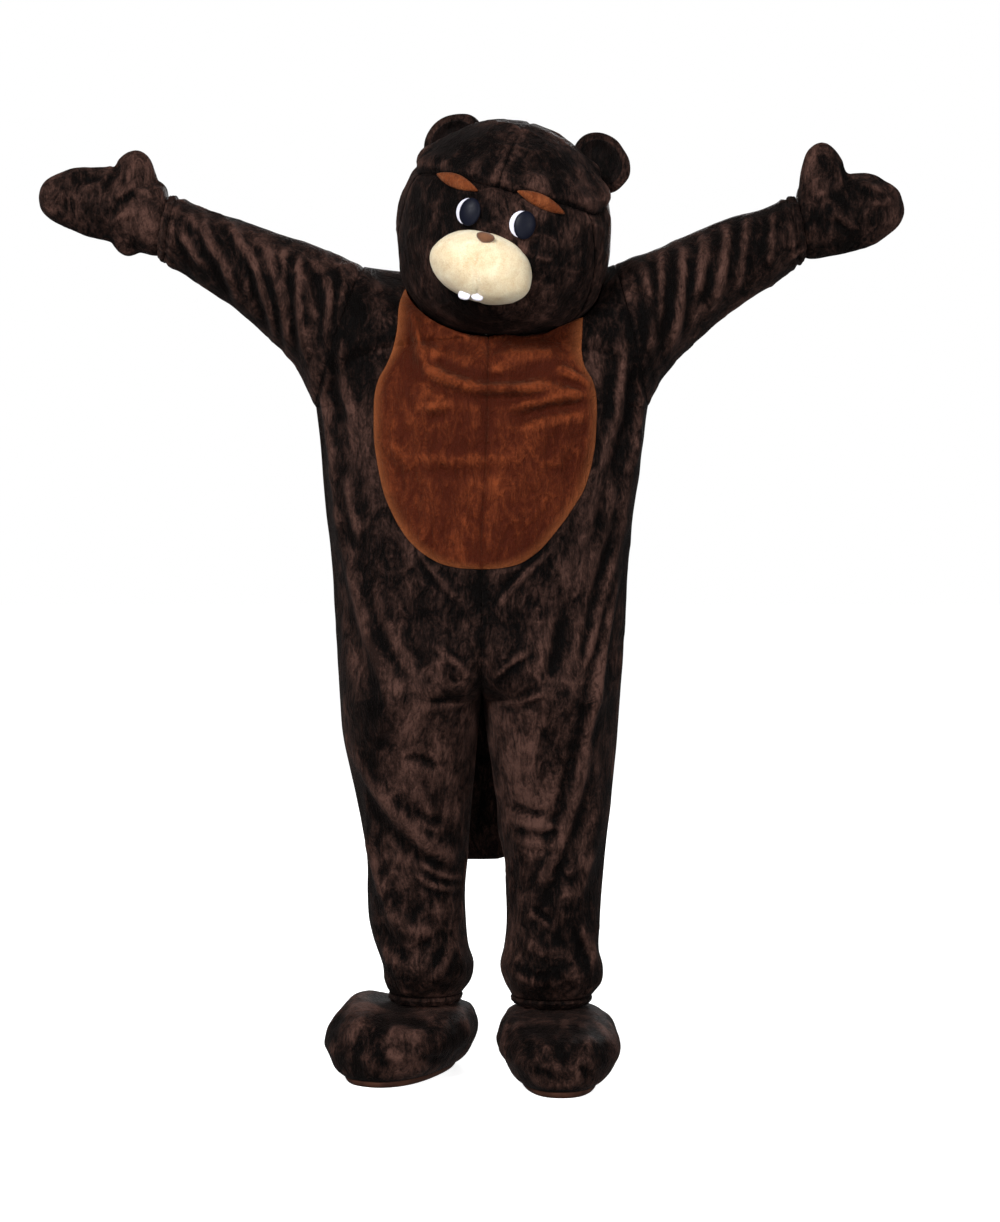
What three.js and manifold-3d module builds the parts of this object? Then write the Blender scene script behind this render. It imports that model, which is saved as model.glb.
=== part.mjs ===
// A plush beaver mascot costume, hollow as it is worn, with its arms held out.
// Millimetres. X runs to the viewer's right, Y away from the viewer, Z up from under the soles.
// Left and right are the viewer's. The finished group is lowered so that its origin is where
// the wearer's shoulders carry the suit.
import * as THREE from 'three';
import { mergeVertices } from 'three/addons/utils/BufferGeometryUtils.js';
import Module from 'manifold-3d';

const wasm = await Module();
wasm.setup();

// ---------------------------------------------------------------- driving sizes
const SHOULDER_HEIGHT = 1470;  // where the suit hangs on the wearer, above the floor
const PLUSH = 3;               // cloth wall, pile and backing
const SEAM = 0.3;              // clearance between neighbouring pieces
const HEAD_WALL = 10;          // foam and plush of the head
const FOOT_WALL = 5;           // padded foot cover
const SOLE_THICK = 27;

const UNDERARM = 1240;         // height where the armhole starts
const CROTCH = 697;            // height where the legs part
const CROTCH_RISE = 150;       // length over which the trunk turns into two legs

// Trunk and legs, a row for each height. left/right: side seams, leftIn/rightIn: inside legs
// (the middle line above the crotch), depth: half the section's depth, back: its centre's
// distance behind the middle plane.
const BODY = [
  { height: 142, left: -180, leftIn: -44, rightIn: 50, right: 199, depth: 70, back: -6, backRight: -34 },
  { height: 166, left: -190, leftIn: -26, rightIn: 36, right: 219, depth: 88, back: -6, backRight: -34 },
  { height: 196, left: -194, leftIn: -20, rightIn: 27, right: 222, depth: 98, back: -6, backRight: -34 },
  { height: 230, left: -206, leftIn: -30, rightIn: 34, right: 214, depth: 94, back: -4, backRight: -30 },
  { height: 279, left: -220, leftIn: -35, rightIn: 39, right: 216, depth: 96, back: 0, backRight: -26 },
  { height: 335, left: -223, leftIn: -37, rightIn: 38, right: 220, depth: 99, back: 2, backRight: -20 },
  { height: 392, left: -224, leftIn: -33, rightIn: 36, right: 225, depth: 104, back: 4, backRight: -14 },
  { height: 448, left: -232, leftIn: -29, rightIn: 25, right: 231, depth: 110, back: 4, backRight: -8 },
  { height: 504, left: -243, leftIn: -24, rightIn: 22, right: 238, depth: 119, back: 4, backRight: -4 },
  { height: 617, left: -267, leftIn: -14, rightIn: 4, right: 248, depth: 141, back: 2, backRight: 0 },
  { height: 697, left: -274, leftIn: -6, rightIn: -5.4, right: 254, depth: 160, back: 1, backRight: 1 },
  { height: 842, left: -282, leftIn: -6, rightIn: -5.4, right: 263, depth: 170, back: 0, backRight: 0 },
  { height: 955, left: -289, leftIn: -6, rightIn: -5.4, right: 270, depth: 170, back: 0, backRight: 0 },
  { height: 1068, left: -302, leftIn: -3, rightIn: -2.4, right: 281, depth: 170, back: 0, backRight: 0 },
  { height: 1180, left: -311, leftIn: 3, rightIn: 3.6, right: 296, depth: 168, back: 0, backRight: 0 },
  { height: 1240, left: -318, leftIn: 5, rightIn: 5.6, right: 305, depth: 166, back: 0, backRight: 0 },
];

// Armholes: the top and bottom of the opening and half its depth.
const ARMHOLE = {
  left: { topX: -225, topZ: 1503, bottomX: -318, bottomZ: UNDERARM, depth: 108 },
  right: { topX: 240, topZ: 1507, bottomX: 305, bottomZ: UNDERARM, depth: 108 },
};

// Sleeves as rings: the ring's top and bottom in the plane of the arms, and half its depth.
const SLEEVE_LEFT = [
  { topX: -225.6, topZ: 1503, bottomX: -318.6, bottomZ: 1240, depth: 108 },
  { topX: -262, topZ: 1522, bottomX: -334, bottomZ: 1272, depth: 104 },
  { topX: -300, topZ: 1536, bottomX: -350, bottomZ: 1305, depth: 99 },
  { topX: -340, topZ: 1550, bottomX: -383, bottomZ: 1350, depth: 93 },
  { topX: -394, topZ: 1567, bottomX: -430, bottomZ: 1393, depth: 86 },
  { topX: -451, topZ: 1586, bottomX: -482, bottomZ: 1432, depth: 79 },
  { topX: -507, topZ: 1606, bottomX: -535, bottomZ: 1468, depth: 72 },
  { topX: -550, topZ: 1622, bottomX: -577, bottomZ: 1496, depth: 66 },
  { topX: -572, topZ: 1628, bottomX: -596, bottomZ: 1512, depth: 62 },
];
const SLEEVE_RIGHT = [
  { topX: 240.6, topZ: 1507, bottomX: 305.6, bottomZ: 1240, depth: 108 },
  { topX: 268, topZ: 1519, bottomX: 322, bottomZ: 1272, depth: 104 },
  { topX: 296, topZ: 1526, bottomX: 338, bottomZ: 1300, depth: 99 },
  { topX: 347, topZ: 1548, bottomX: 384, bottomZ: 1352, depth: 92 },
  { topX: 404, topZ: 1572, bottomX: 437, bottomZ: 1402, depth: 85 },
  { topX: 460, topZ: 1594, bottomX: 488, bottomZ: 1438, depth: 78 },
  { topX: 512, topZ: 1610, bottomX: 540, bottomZ: 1470, depth: 71 },
  { topX: 545, topZ: 1624, bottomX: 570, bottomZ: 1494, depth: 66 },
  { topX: 561, topZ: 1629, bottomX: 586, bottomZ: 1507, depth: 63 },
];

// The head's form: an ellipsoid about its centre whose lower half is fuller, like a jowl.
const HEAD = { x: 36, y: -90, z: 1563, halfWidth: 196, halfDepth: 188, halfHeight: 197 };
const JOWL = 2.6;              // power of the fuller lower half, 2 would be an ellipse
const HEAD_ROLL = 14;          // degrees, the head leans to the viewer's right
const HEAD_YAW = 7;            // degrees, the face turns to the viewer's left
const NECK_TILT = 25.7;        // degrees that the neck opening lies behind straight down

const rad = THREE.MathUtils.degToRad;
const lerp = THREE.MathUtils.lerp;
const smooth = (from, to, at) => THREE.MathUtils.smoothstep(at, from, to);
const vector = (x, y, z) => new THREE.Vector3(x, y, z);

// ---------------------------------------------------------------- tables and curves
// Value of a table's column at a place along another column, on a smooth curve through the rows.
function readTable(table, key, at, column) {
  let i = 0;
  while (i < table.length - 2 && table[i + 1][key] < at) i += 1;
  const before = table[Math.max(i - 1, 0)];
  const low = table[i];
  const high = table[i + 1];
  const after = table[Math.min(i + 2, table.length - 1)];
  const span = high[key] - low[key];
  const t = (at - low[key]) / span;
  const slopeLow = (high[column] - before[column]) / (high[key] - before[key]);
  const slopeHigh = (after[column] - low[column]) / (after[key] - low[key]);
  const t2 = t * t;
  const t3 = t2 * t;
  return (2 * t3 - 3 * t2 + 1) * low[column] + (t3 - 2 * t2 + t) * span * slopeLow
    + (3 * t2 - 2 * t3) * high[column] + (t3 - t2) * span * slopeHigh;
}

// Numbers the rows of a table evenly from 0 to 1, for readTable.
function numbered(table) {
  return table.map((row, i) => ({ ...row, along: i / (table.length - 1) }));
}

// A soft ridge or trough: full height along the line from one point to another, fading out
// over its width and towards its ends.
function foldHeight(fold, x, z) {
  const alongX = fold.toX - fold.fromX;
  const alongZ = fold.toZ - fold.fromZ;
  const length2 = alongX * alongX + alongZ * alongZ;
  const t = ((x - fold.fromX) * alongX + (z - fold.fromZ) * alongZ) / length2;
  const near = THREE.MathUtils.clamp(t, 0, 1);
  const away = Math.hypot(x - fold.fromX - alongX * near, z - fold.fromZ - alongZ * near);
  const ends = smooth(-0.02, 0.25, near) * smooth(-0.02, 0.25, 1 - near);
  return fold.height * Math.exp(-((away / fold.width) ** 2)) * ends;
}

// ---------------------------------------------------------------- walls and solids
const evenly = (from, to, steps) => Array.from({ length: steps + 1 }, (_, i) => lerp(from, to, i / steps));

// Whether the faces point out: the sign of the volume that they enclose.
function pointsOut(points, faces) {
  let sum = 0;
  for (const [a, b, c] of faces) sum += points[a].dot(vector(0, 0, 0).crossVectors(points[b], points[c]));
  return sum > 0;
}

function solidGeometry(points, faces) {
  const turned = pointsOut(points, faces) ? faces : faces.map(([a, b, c]) => [a, c, b]);
  const geometry = new THREE.BufferGeometry();
  geometry.setAttribute('position', new THREE.Float32BufferAttribute(points.flatMap((p) => p.toArray()), 3));
  geometry.setIndex(turned.flat());
  return geometry;
}

// A closed wall between two surfaces, each a function of u and v, on the grid of the places
// given. round joins the last column to the first.
function wallBetween(outer, inner, us, vs, round = false) {
  const columns = us.length;
  const points = [];
  for (const surface of [outer, inner]) {
    for (const v of vs) for (const u of us) points.push(surface(u, v));
  }
  const size = columns * vs.length;
  const at = (side, i, j) => side * size + j * columns + (i % columns);
  const faces = [];
  const quad = (a, b, c, d) => faces.push([a, b, c], [a, c, d]);
  const across = round ? columns : columns - 1;
  for (let j = 0; j < vs.length - 1; j += 1) {
    for (let i = 0; i < across; i += 1) {
      quad(at(0, i, j), at(0, i + 1, j), at(0, i + 1, j + 1), at(0, i, j + 1));
      quad(at(1, i, j), at(1, i, j + 1), at(1, i + 1, j + 1), at(1, i + 1, j));
    }
    if (!round) {
      quad(at(0, 0, j), at(0, 0, j + 1), at(1, 0, j + 1), at(1, 0, j));
      quad(at(0, across, j), at(1, across, j), at(1, across, j + 1), at(0, across, j + 1));
    }
  }
  const last = vs.length - 1;
  for (let i = 0; i < across; i += 1) {
    quad(at(0, i, 0), at(1, i, 0), at(1, i + 1, 0), at(0, i + 1, 0));
    quad(at(0, i, last), at(0, i + 1, last), at(1, i + 1, last), at(1, i, last));
  }
  return solidGeometry(points, faces);
}

// A surface moved along its own normal by a distance. facing is 1 or -1, whichever points out.
function moved(surface, facing, distance, lowV = -Infinity, highV = Infinity) {
  const step = 1e-3;
  return (u, v) => {
    const spanV = Math.max(Math.abs(v), 1) * step;
    const across = surface(u + step, v).sub(surface(u - step, v));
    const along = surface(u, Math.min(v + spanV, highV)).sub(surface(u, Math.max(v - spanV, lowV)));
    const normal = across.cross(along).normalize();
    return surface(u, v).addScaledVector(normal, facing * distance);
  };
}

// A solid through rings of points, closed at each end by a fan round the ring's middle.
function loft(rings) {
  const points = rings.flat();
  const columns = rings[0].length;
  const faces = [];
  for (let j = 0; j < rings.length - 1; j += 1) {
    for (let i = 0; i < columns; i += 1) {
      const next = (i + 1) % columns;
      const low = j * columns;
      faces.push([low + i, low + next, low + columns + next], [low + i, low + columns + next, low + columns + i]);
    }
  }
  for (const [ring, start] of [[rings[0], 0], [rings[rings.length - 1], (rings.length - 1) * columns]]) {
    const middle = ring.reduce((sum, p) => sum.add(p), vector(0, 0, 0)).divideScalar(columns);
    points.push(middle);
    for (let i = 0; i < columns; i += 1) {
      const next = (i + 1) % columns;
      faces.push(start === 0 ? [points.length - 1, start + next, start + i]
        : [points.length - 1, start + i, start + next]);
    }
  }
  return solidGeometry(points, faces);
}

function toManifold(geometry) {
  const bare = geometry.clone();
  bare.deleteAttribute('normal');
  bare.deleteAttribute('uv');
  const merged = mergeVertices(bare, 1e-3);
  return new wasm.Manifold(new wasm.Mesh({
    numProp: 3,
    vertProperties: new Float32Array(merged.attributes.position.array),
    triVerts: new Uint32Array(merged.index.array),
  }));
}

function toGeometry(manifold) {
  const mesh = manifold.getMesh();
  const geometry = new THREE.BufferGeometry();
  geometry.setAttribute('position', new THREE.BufferAttribute(new Float32Array(mesh.vertProperties), 3));
  geometry.setIndex(Array.from(mesh.triVerts));
  return geometry;
}

// ---------------------------------------------------------------- materials and pieces
const material = (color, roughness, metalness = 0) => new THREE.MeshStandardMaterial({ color, roughness, metalness });
const PLUSH_BROWN = material(0x2b1c19, 0.95);
const PATCH_RUST = material(0x73301a, 0.9);
const INNER_EAR = material(0x1a1110, 0.95);
const MUZZLE_CREAM = material(0xeadbb8, 0.9);
const NOSE_BROWN = material(0x6a3d22, 0.6);
const BROW_RUST = material(0x8f4a23, 0.85);
const EYE_WHITE = material(0xe9e6ef, 0.5);
const EYE_BLACK = material(0x0b0b12, 0.3);
const TOOTH_WHITE = material(0xeeeaf2, 0.6);
const SOLE_BROWN = material(0x3a1d14, 0.8);
const ZIP_BROWN = material(0x2a1a14, 0.7);
const ZIP_METAL = material(0x8d8578, 0.35, 0.9);

const suit = new THREE.Group();
function add(name, geometry, finish) {
  const mesh = new THREE.Mesh(geometry, finish);
  mesh.name = name;
  suit.add(mesh);
  return mesh;
}

// ---------------------------------------------------------------- the head's form
const NECK_DOWN = vector(0, Math.sin(rad(NECK_TILT)), -Math.cos(rad(NECK_TILT)));
const NECK_FRONT = vector(0, -Math.cos(rad(NECK_TILT)), -Math.sin(rad(NECK_TILT)));
const NECK_SIDE = vector(1, 0, 0);

// Direction from the head's middle: apart degrees away from the neck's axis, and round degrees
// about it from the front, positive to the viewer's right.
function neckDirection(round, apart) {
  return NECK_DOWN.clone().multiplyScalar(Math.cos(rad(apart)))
    .addScaledVector(NECK_FRONT, Math.cos(rad(round)) * Math.sin(rad(apart)))
    .addScaledVector(NECK_SIDE, Math.sin(rad(round)) * Math.sin(rad(apart)));
}

// The head's lean and turn, applied to a direction.
function leaned(direction) {
  return direction.applyAxisAngle(vector(0, 1, 0), rad(HEAD_ROLL)).applyAxisAngle(vector(0, 0, 1), -rad(HEAD_YAW));
}

// The point of the head's form in a direction, lift outside it.
function headPoint(direction, lift = 0) {
  const power = direction.z < 0 ? JOWL : 2;
  const flat = Math.hypot(direction.x / (HEAD.halfWidth + lift), direction.y / (HEAD.halfDepth + lift));
  const tall = Math.abs(direction.z) / (HEAD.halfHeight + lift);
  const reach = (flat ** power + tall ** power) ** (-1 / power);
  return vector(HEAD.x, HEAD.y, HEAD.z).addScaledVector(direction, reach);
}

// Where the suit's neckline runs under the head: low in front, high on the shoulders.
const NECK_CLEAR = 5.3;
function necklinePoint(round) {
  const apart = 48.5 - 4 * Math.cos(rad(round)) - 10.5 * Math.cos(rad(2 * round));
  return headPoint(neckDirection(round, apart), NECK_CLEAR);
}

// ---------------------------------------------------------------- the suit's surface
// Places on a panel: u runs from the middle seam or inside leg (0) to the side seam or armhole
// (1). level is the height up to the underarm; above it the YOKE levels go up to the shoulder.
const YOKE = 300;
const TOP_LEVEL = UNDERARM + YOKE;
const BOTTOM_LEVEL = BODY[0].height;
const LEFT = -1;
const RIGHT = 1;
const FRONT = -1;
const BACK = 1;
const NECK_ROUND = { front: -14, back: 195.5, shoulder: 115 };   // degrees round the neck
const MIDDLE_SEAM_TOP = { front: 0.32, back: 0.55 };             // share of the yoke at the neckline

// The largest folds of the trunk and legs, on the fronts and the backs.
const FRONT_FOLDS = [
  { fromX: -120, fromZ: 1400, toX: -90, toZ: 1310, width: 26, height: 6 },
  { fromX: -96, fromZ: 1300, toX: -20, toZ: 1272, width: 17, height: -10 },
  { fromX: -30, fromZ: 1272, toX: 135, toZ: 1278, width: 17, height: -11 },
  { fromX: -120, fromZ: 1238, toX: -70, toZ: 1244, width: 16, height: 5 },
  { fromX: 40, fromZ: 1238, toX: 175, toZ: 1258, width: 16, height: 6 },
  { fromX: 228, fromZ: 940, toX: 185, toZ: 730, width: 16, height: 7 },
  { fromX: 205, fromZ: 740, toX: 120, toZ: 390, width: 18, height: 7 },
  { fromX: -235, fromZ: 930, toX: -165, toZ: 660, width: 16, height: 6 },
  { fromX: -235, fromZ: 640, toX: -125, toZ: 445, width: 18, height: 6 },
  { fromX: 45, fromZ: 490, toX: 118, toZ: 476, width: 14, height: 5 },
  { fromX: -222, fromZ: 480, toX: -178, toZ: 305, width: 16, height: 6 },
];
const BACK_FOLDS = [
  { fromX: -180, fromZ: 1330, toX: -40, toZ: 1290, width: 22, height: 6 },
  { fromX: 40, fromZ: 1285, toX: 185, toZ: 1325, width: 22, height: 6 },
  { fromX: -230, fromZ: 980, toX: -70, toZ: 930, width: 22, height: -7 },
  { fromX: 80, fromZ: 935, toX: 225, toZ: 985, width: 22, height: -7 },
  { fromX: -210, fromZ: 600, toX: -60, toZ: 560, width: 18, height: 6 },
  { fromX: 60, fromZ: 565, toX: 200, toZ: 590, width: 18, height: 6 },
];

// x of the middle seams, front and back, from the crotch to the underarm.
const middleLine = (level) => lerp(-5.7, 5.3, smooth(955, UNDERARM, level));

// The middle seam above the underarm: it leans in to the neckline, then follows it.
function innerEdge(side, face, share) {
  const key = face === FRONT ? 'front' : 'back';
  const turn = Math.sign(side) * 0.15;
  const start = NECK_ROUND[key] + (face === FRONT ? turn : -turn);
  const shoulder = side * NECK_ROUND.shoulder;
  const finish = side === LEFT && face === BACK ? shoulder + 360 : shoulder;
  const seamTop = MIDDLE_SEAM_TOP[key];
  if (share >= seamTop) return necklinePoint(lerp(start, finish, (share - seamTop) / (1 - seamTop)));
  const top = necklinePoint(start);
  const along = share / seamTop;
  const low = middleLine(UNDERARM) + side * SEAM;
  const depth = readTable(BODY, 'height', UNDERARM, 'depth');
  return vector(lerp(low, top.x, along), lerp(face * depth, top.y, along * along), lerp(UNDERARM, top.z, along));
}

function armholePoint(side, face, share) {
  const hole = side === LEFT ? ARMHOLE.left : ARMHOLE.right;
  const turn = Math.PI * (share - 0.5);
  return vector(
    lerp(hole.bottomX, hole.topX, (1 + Math.sin(turn)) / 2),
    face * hole.depth * Math.cos(turn),
    lerp(hole.bottomZ, hole.topZ, (1 + Math.sin(turn)) / 2),
  );
}

// How a panel's section turns from the middle to the side at a level.
function section(side, level) {
  const read = (column) => readTable(BODY, 'height', level, column);
  const inner = level < CROTCH ? side * read(side === LEFT ? 'leftIn' : 'rightIn')
    : side * middleLine(level) + SEAM;
  const outer = side * read(side === LEFT ? 'left' : 'right');
  const legs = THREE.MathUtils.clamp((CROTCH + CROTCH_RISE - level) / CROTCH_RISE, 0, 1) ** 1.3;
  const centre = lerp(inner, (inner + outer) / 2, legs);
  const half = outer - centre;
  const start = Math.asin(THREE.MathUtils.clamp((inner - centre) / half, -1, 1));
  return { centre, half, start, depth: read('depth'), back: read(side === LEFT ? 'back' : 'backRight') };
}

const yokeTurn = (share) => lerp(Math.PI / 2, rad(35), smooth(0, 0.35, share));

function bodyPoint(side, face, u, level) {
  if (level <= UNDERARM) {
    const { centre, half, start, depth, back } = section(side, level);
    const turn = lerp(start, Math.PI / 2, u);
    return vector(
      side * (centre + half * Math.sin(turn)),
      back + face * (depth * Math.cos(turn) + SEAM / 2),
      level,
    );
  }
  const share = (level - UNDERARM) / YOKE;
  const inner = innerEdge(side, face, share);
  const outer = armholePoint(side, face, share);
  const end = yokeTurn(share);
  const sideways = Math.sin(end * u) / Math.sin(end);
  const deep = (1 - Math.cos(end * u)) / (1 - Math.cos(end));
  const seamTop = MIDDLE_SEAM_TOP[face === FRONT ? 'front' : 'back'];
  const tall = lerp(deep, sideways, smooth(seamTop, seamTop + 0.3, share));
  return vector(
    lerp(inner.x, outer.x, sideways),
    lerp(inner.y, outer.y, deep) + (face * SEAM) / 2,
    lerp(inner.z, outer.z, tall),
  );
}

// The u at which a panel's row comes to a given x.
function acrossAt(side, face, level, x) {
  if (level <= UNDERARM) {
    const { centre, half, start } = section(side, level);
    const turn = Math.asin(THREE.MathUtils.clamp((side * x - centre) / half, -1, 1));
    return (turn - start) / (Math.PI / 2 - start);
  }
  const share = (level - UNDERARM) / YOKE;
  const inner = innerEdge(side, face, share);
  const outer = armholePoint(side, face, share);
  const end = yokeTurn(share);
  return Math.asin(THREE.MathUtils.clamp((x - inner.x) / (outer.x - inner.x), -1, 1) * Math.sin(end)) / end;
}

// The surface with its folds, which fade out at the seams of the panel.
function foldedBody(side, face) {
  const folds = face === FRONT ? FRONT_FOLDS : BACK_FOLDS;
  const plain = (u, level) => bodyPoint(side, face, u, level);
  return (u, level) => {
    const at = plain(u, level);
    const height = folds.reduce((sum, fold) => sum + foldHeight(fold, at.x, at.z), 0);
    const fade = smooth(0, 0.12, 1 - u) * smooth(0, 40, TOP_LEVEL - level);
    if (Math.abs(height * fade) < 1e-4) return at;
    return moved(plain, -side * face, height * fade, BOTTOM_LEVEL, TOP_LEVEL)(u, level);
  };
}

const BODY_LEVELS = [142, 158, 181, 205, 230, 265, 306, 350, 392, 435, 477, 520, 570, 617, 660, 690, 705, 725,
  760, 820, 890, 960, 1040, 1110, 1180, UNDERARM];
const FRONT_LEVELS = [...BODY_LEVELS, 1262, 1282, 1306, 1336, 1375, 1415, 1460, 1503, TOP_LEVEL];
const BACK_LEVELS = [...BODY_LEVELS, 1282, 1324, 1366, 1405, 1450, 1495, TOP_LEVEL];
const FRONT_COLUMNS = evenly(0, 1, 9);
const BACK_COLUMNS = evenly(0, 1, 7);

// A point of a panel's wall at the armhole, kept on its own side of the sleeve's first ring.
function insideArmhole(side, point) {
  const hole = side === LEFT ? ARMHOLE.left : ARMHOLE.right;
  const outward = vector(side * (hole.topZ - hole.bottomZ), 0, side * (hole.bottomX - hole.topX)).normalize();
  const over = point.clone().sub(vector(hole.bottomX, 0, hole.bottomZ)).dot(outward);
  return over > 0 ? point.addScaledVector(outward, -over) : point;
}

function buildBody() {
  for (const [sideName, side] of [['left', LEFT], ['right', RIGHT]]) {
    for (const [faceName, face] of [['front', FRONT], ['back', BACK]]) {
      const surface = foldedBody(side, face);
      const behind = moved(surface, -side * face, -PLUSH, BOTTOM_LEVEL, TOP_LEVEL);
      const inner = (u, level) => (u === 1 && level > UNDERARM
        ? insideArmhole(side, behind(u, level)) : behind(u, level));
      const columns = face === FRONT ? FRONT_COLUMNS : BACK_COLUMNS;
      const levels = face === FRONT ? FRONT_LEVELS : BACK_LEVELS;
      add(`body_${faceName}_${sideName}`, wallBetween(surface, inner, columns, levels), PLUSH_BROWN);
    }
  }
}

// ---------------------------------------------------------------- what lies on the panels
const CUTTER_DEPTH = 300;      // how far an outline is carried towards the front or the back

// A layer over part of a panel: the panel's own points moved out, cut to a flat outline that
// is carried through from front to back.
function layer(side, face, columns, levels, thickness, outline) {
  const surface = foldedBody(side, face);
  const outer = moved(surface, -side * face, SEAM + thickness, BOTTOM_LEVEL, TOP_LEVEL);
  const inner = moved(surface, -side * face, SEAM, BOTTOM_LEVEL, TOP_LEVEL);
  const cutter = new THREE.ExtrudeGeometry(outline, { depth: CUTTER_DEPTH, bevelEnabled: false, curveSegments: 4 });
  cutter.rotateX(Math.PI / 2);
  cutter.translate(0, face === FRONT ? 0 : CUTTER_DEPTH, 0);
  const whole = toManifold(wallBetween(outer, inner, columns, levels));
  return whole.intersect(toManifold(cutter)).subtract(headForm(NECK_CLEAR - 1));
}

// The belly patch's edge seen from the front, from its bottom up each side.
const PATCH_EDGE = [
  { z: 940, left: -12, right: 0 },
  { z: 943, left: -50, right: 36 },
  { z: 952, left: -84, right: 68 },
  { z: 972, left: -116, right: 98 },
  { z: 1000, left: -143, right: 123 },
  { z: 1045, left: -170, right: 157 },
  { z: 1090, left: -187, right: 183 },
  { z: 1157, left: -199, right: 199 },
  { z: 1215, left: -201, right: 204 },
  { z: 1255, left: -200, right: 203 },
  { z: 1285, left: -193, right: 196 },
  { z: 1310, left: -180, right: 182 },
  { z: 1340, left: -168, right: 177 },
  { z: 1375, left: -160, right: 178 },
  { z: 1420, left: -157, right: 178 },
  { z: 1462, left: -150, right: 170 },
];

const PAST_SEAM = 30;          // how far the outline runs past the centre seam, where the panel ends

function buildPatch() {
  for (const [name, side] of [['left', LEFT], ['right', RIGHT]]) {
    const outline = new THREE.Shape();
    outline.moveTo(-side * PAST_SEAM, PATCH_EDGE[0].z);
    for (const row of PATCH_EDGE) outline.lineTo(row[name], row.z);
    outline.lineTo(-side * PAST_SEAM, PATCH_EDGE[PATCH_EDGE.length - 1].z);
    const levels = FRONT_LEVELS.filter((level) => level >= 890 && level <= 1503);
    const columns = FRONT_COLUMNS.filter((u) => u < 0.8);
    add(`belly_patch_${name}`, toGeometry(layer(side, FRONT, columns, levels, PLUSH, outline)), PATCH_RUST);
  }
}

// ---------------------------------------------------------------- sleeves and gathered hems
function ringReader(table) {
  const rows = numbered(table);
  return (along) => {
    const read = (column) => readTable(rows, 'along', along, column);
    return {
      centre: vector((read('topX') + read('bottomX')) / 2, 0, (read('topZ') + read('bottomZ')) / 2),
      up: vector((read('topX') - read('bottomX')) / 2, 0, (read('topZ') - read('bottomZ')) / 2),
      depth: read('depth'),
    };
  };
}

// A tube through a table's rings: round goes once about it, from the top towards the front.
function tubeSurface(table) {
  const ring = ringReader(table);
  return (round, along) => {
    const { centre, up, depth } = ring(along);
    const angle = 2 * Math.PI * round;
    return centre.addScaledVector(up, Math.cos(angle)).add(vector(0, -depth * Math.sin(angle), 0));
  };
}

const SLEEVE_FOLDS_LEFT = [
  { fromX: -342, fromZ: 1552, toX: -346, toZ: 1335, width: 17, height: 6 },
  { fromX: -416, fromZ: 1560, toX: -366, toZ: 1350, width: 17, height: 7 },
  { fromX: -486, fromZ: 1590, toX: -398, toZ: 1390, width: 17, height: 6 },
  { fromX: -552, fromZ: 1586, toX: -460, toZ: 1430, width: 17, height: 6 },
  { fromX: -290, fromZ: 1500, toX: -296, toZ: 1345, width: 18, height: 5 },
];
const SLEEVE_FOLDS_RIGHT = [
  { fromX: 244, fromZ: 1490, toX: 282, toZ: 1385, width: 18, height: 5 },
  { fromX: 290, fromZ: 1515, toX: 306, toZ: 1330, width: 17, height: 6 },
  { fromX: 368, fromZ: 1550, toX: 342, toZ: 1330, width: 17, height: 6 },
];

function folded(plain, folds, facing) {
  return (u, v) => {
    const at = plain(u, v);
    const height = folds.reduce((sum, fold) => sum + foldHeight(fold, at.x, at.z), 0) * smooth(0, 0.08, v);
    return Math.abs(height) < 1e-4 ? at : moved(plain, facing, height, 0, 1)(u, v);
  };
}

const HEM_GATHERS = 11;
const HEM_COLUMNS = 22;

// A gathered hem: from the end ring of a tube it bulges a little, then draws in to the elastic.
// ring(round) gives the end of the tube, out is the way the hem runs.
function gatheredHem(ring, out, length, drawnIn) {
  const middle = [0, 0.25, 0.5, 0.75].reduce((sum, at) => sum.add(ring(at)), vector(0, 0, 0)).divideScalar(4);
  const hem = (inset) => (round, along) => {
    const from = ring(round);
    const radial = from.clone().sub(middle);
    const reach = radial.length();
    const bulge = 3 * Math.sin(Math.PI * Math.min(along * 1.4, 1));
    const gather = 2.6 * along * Math.cos(2 * Math.PI * HEM_GATHERS * round);
    const size = reach + bulge + gather - drawnIn * along * along - inset;
    return middle.clone().addScaledVector(radial, size / reach).addScaledVector(out, SEAM * 2 + length * along);
  };
  const rounds = Array.from({ length: HEM_COLUMNS }, (_, i) => i / HEM_COLUMNS);
  return wallBetween(hem(0), hem(PLUSH), rounds, [0, 0.5, 1], true);
}

const WRIST_HEM = 16;
const ANKLE_HEM = 15;

// Columns round a sleeve that meet the panels' own points along the armhole.
function sleeveRounds() {
  const share = (level) => (level - UNDERARM) / YOKE;
  const front = FRONT_LEVELS.filter((level) => level > UNDERARM).map((level) => (1 - share(level)) / 2);
  const back = BACK_LEVELS.filter((level) => level >= UNDERARM && level < TOP_LEVEL)
    .map((level) => (1 + share(level)) / 2);
  return [...front.reverse(), ...back];
}

function buildSleeves() {
  const rounds = sleeveRounds();
  const sleeves = [['left', SLEEVE_LEFT, SLEEVE_FOLDS_LEFT, -1], ['right', SLEEVE_RIGHT, SLEEVE_FOLDS_RIGHT, 1]];
  for (const [name, table, folds, facing] of sleeves) {
    const surface = folded(tubeSurface(table), folds, facing);
    const ring = ringReader(table);
    const inner = (round, along) => {
      const point = surface(round, along);
      const inward = ring(along).centre.sub(point).normalize();
      return point.addScaledVector(inward, PLUSH * 1.1);
    };
    add(`sleeve_${name}`, wallBetween(surface, inner, rounds, evenly(0, 1, 12), true), PLUSH_BROWN);
    const end = (round) => surface(round, 1);
    const out = surface(0.25, 1).sub(surface(0.25, 0.96)).setY(0).normalize();
    add(`wrist_hem_${name}`, gatheredHem(end, out, WRIST_HEM, 3), PLUSH_BROWN);
  }
}

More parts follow.
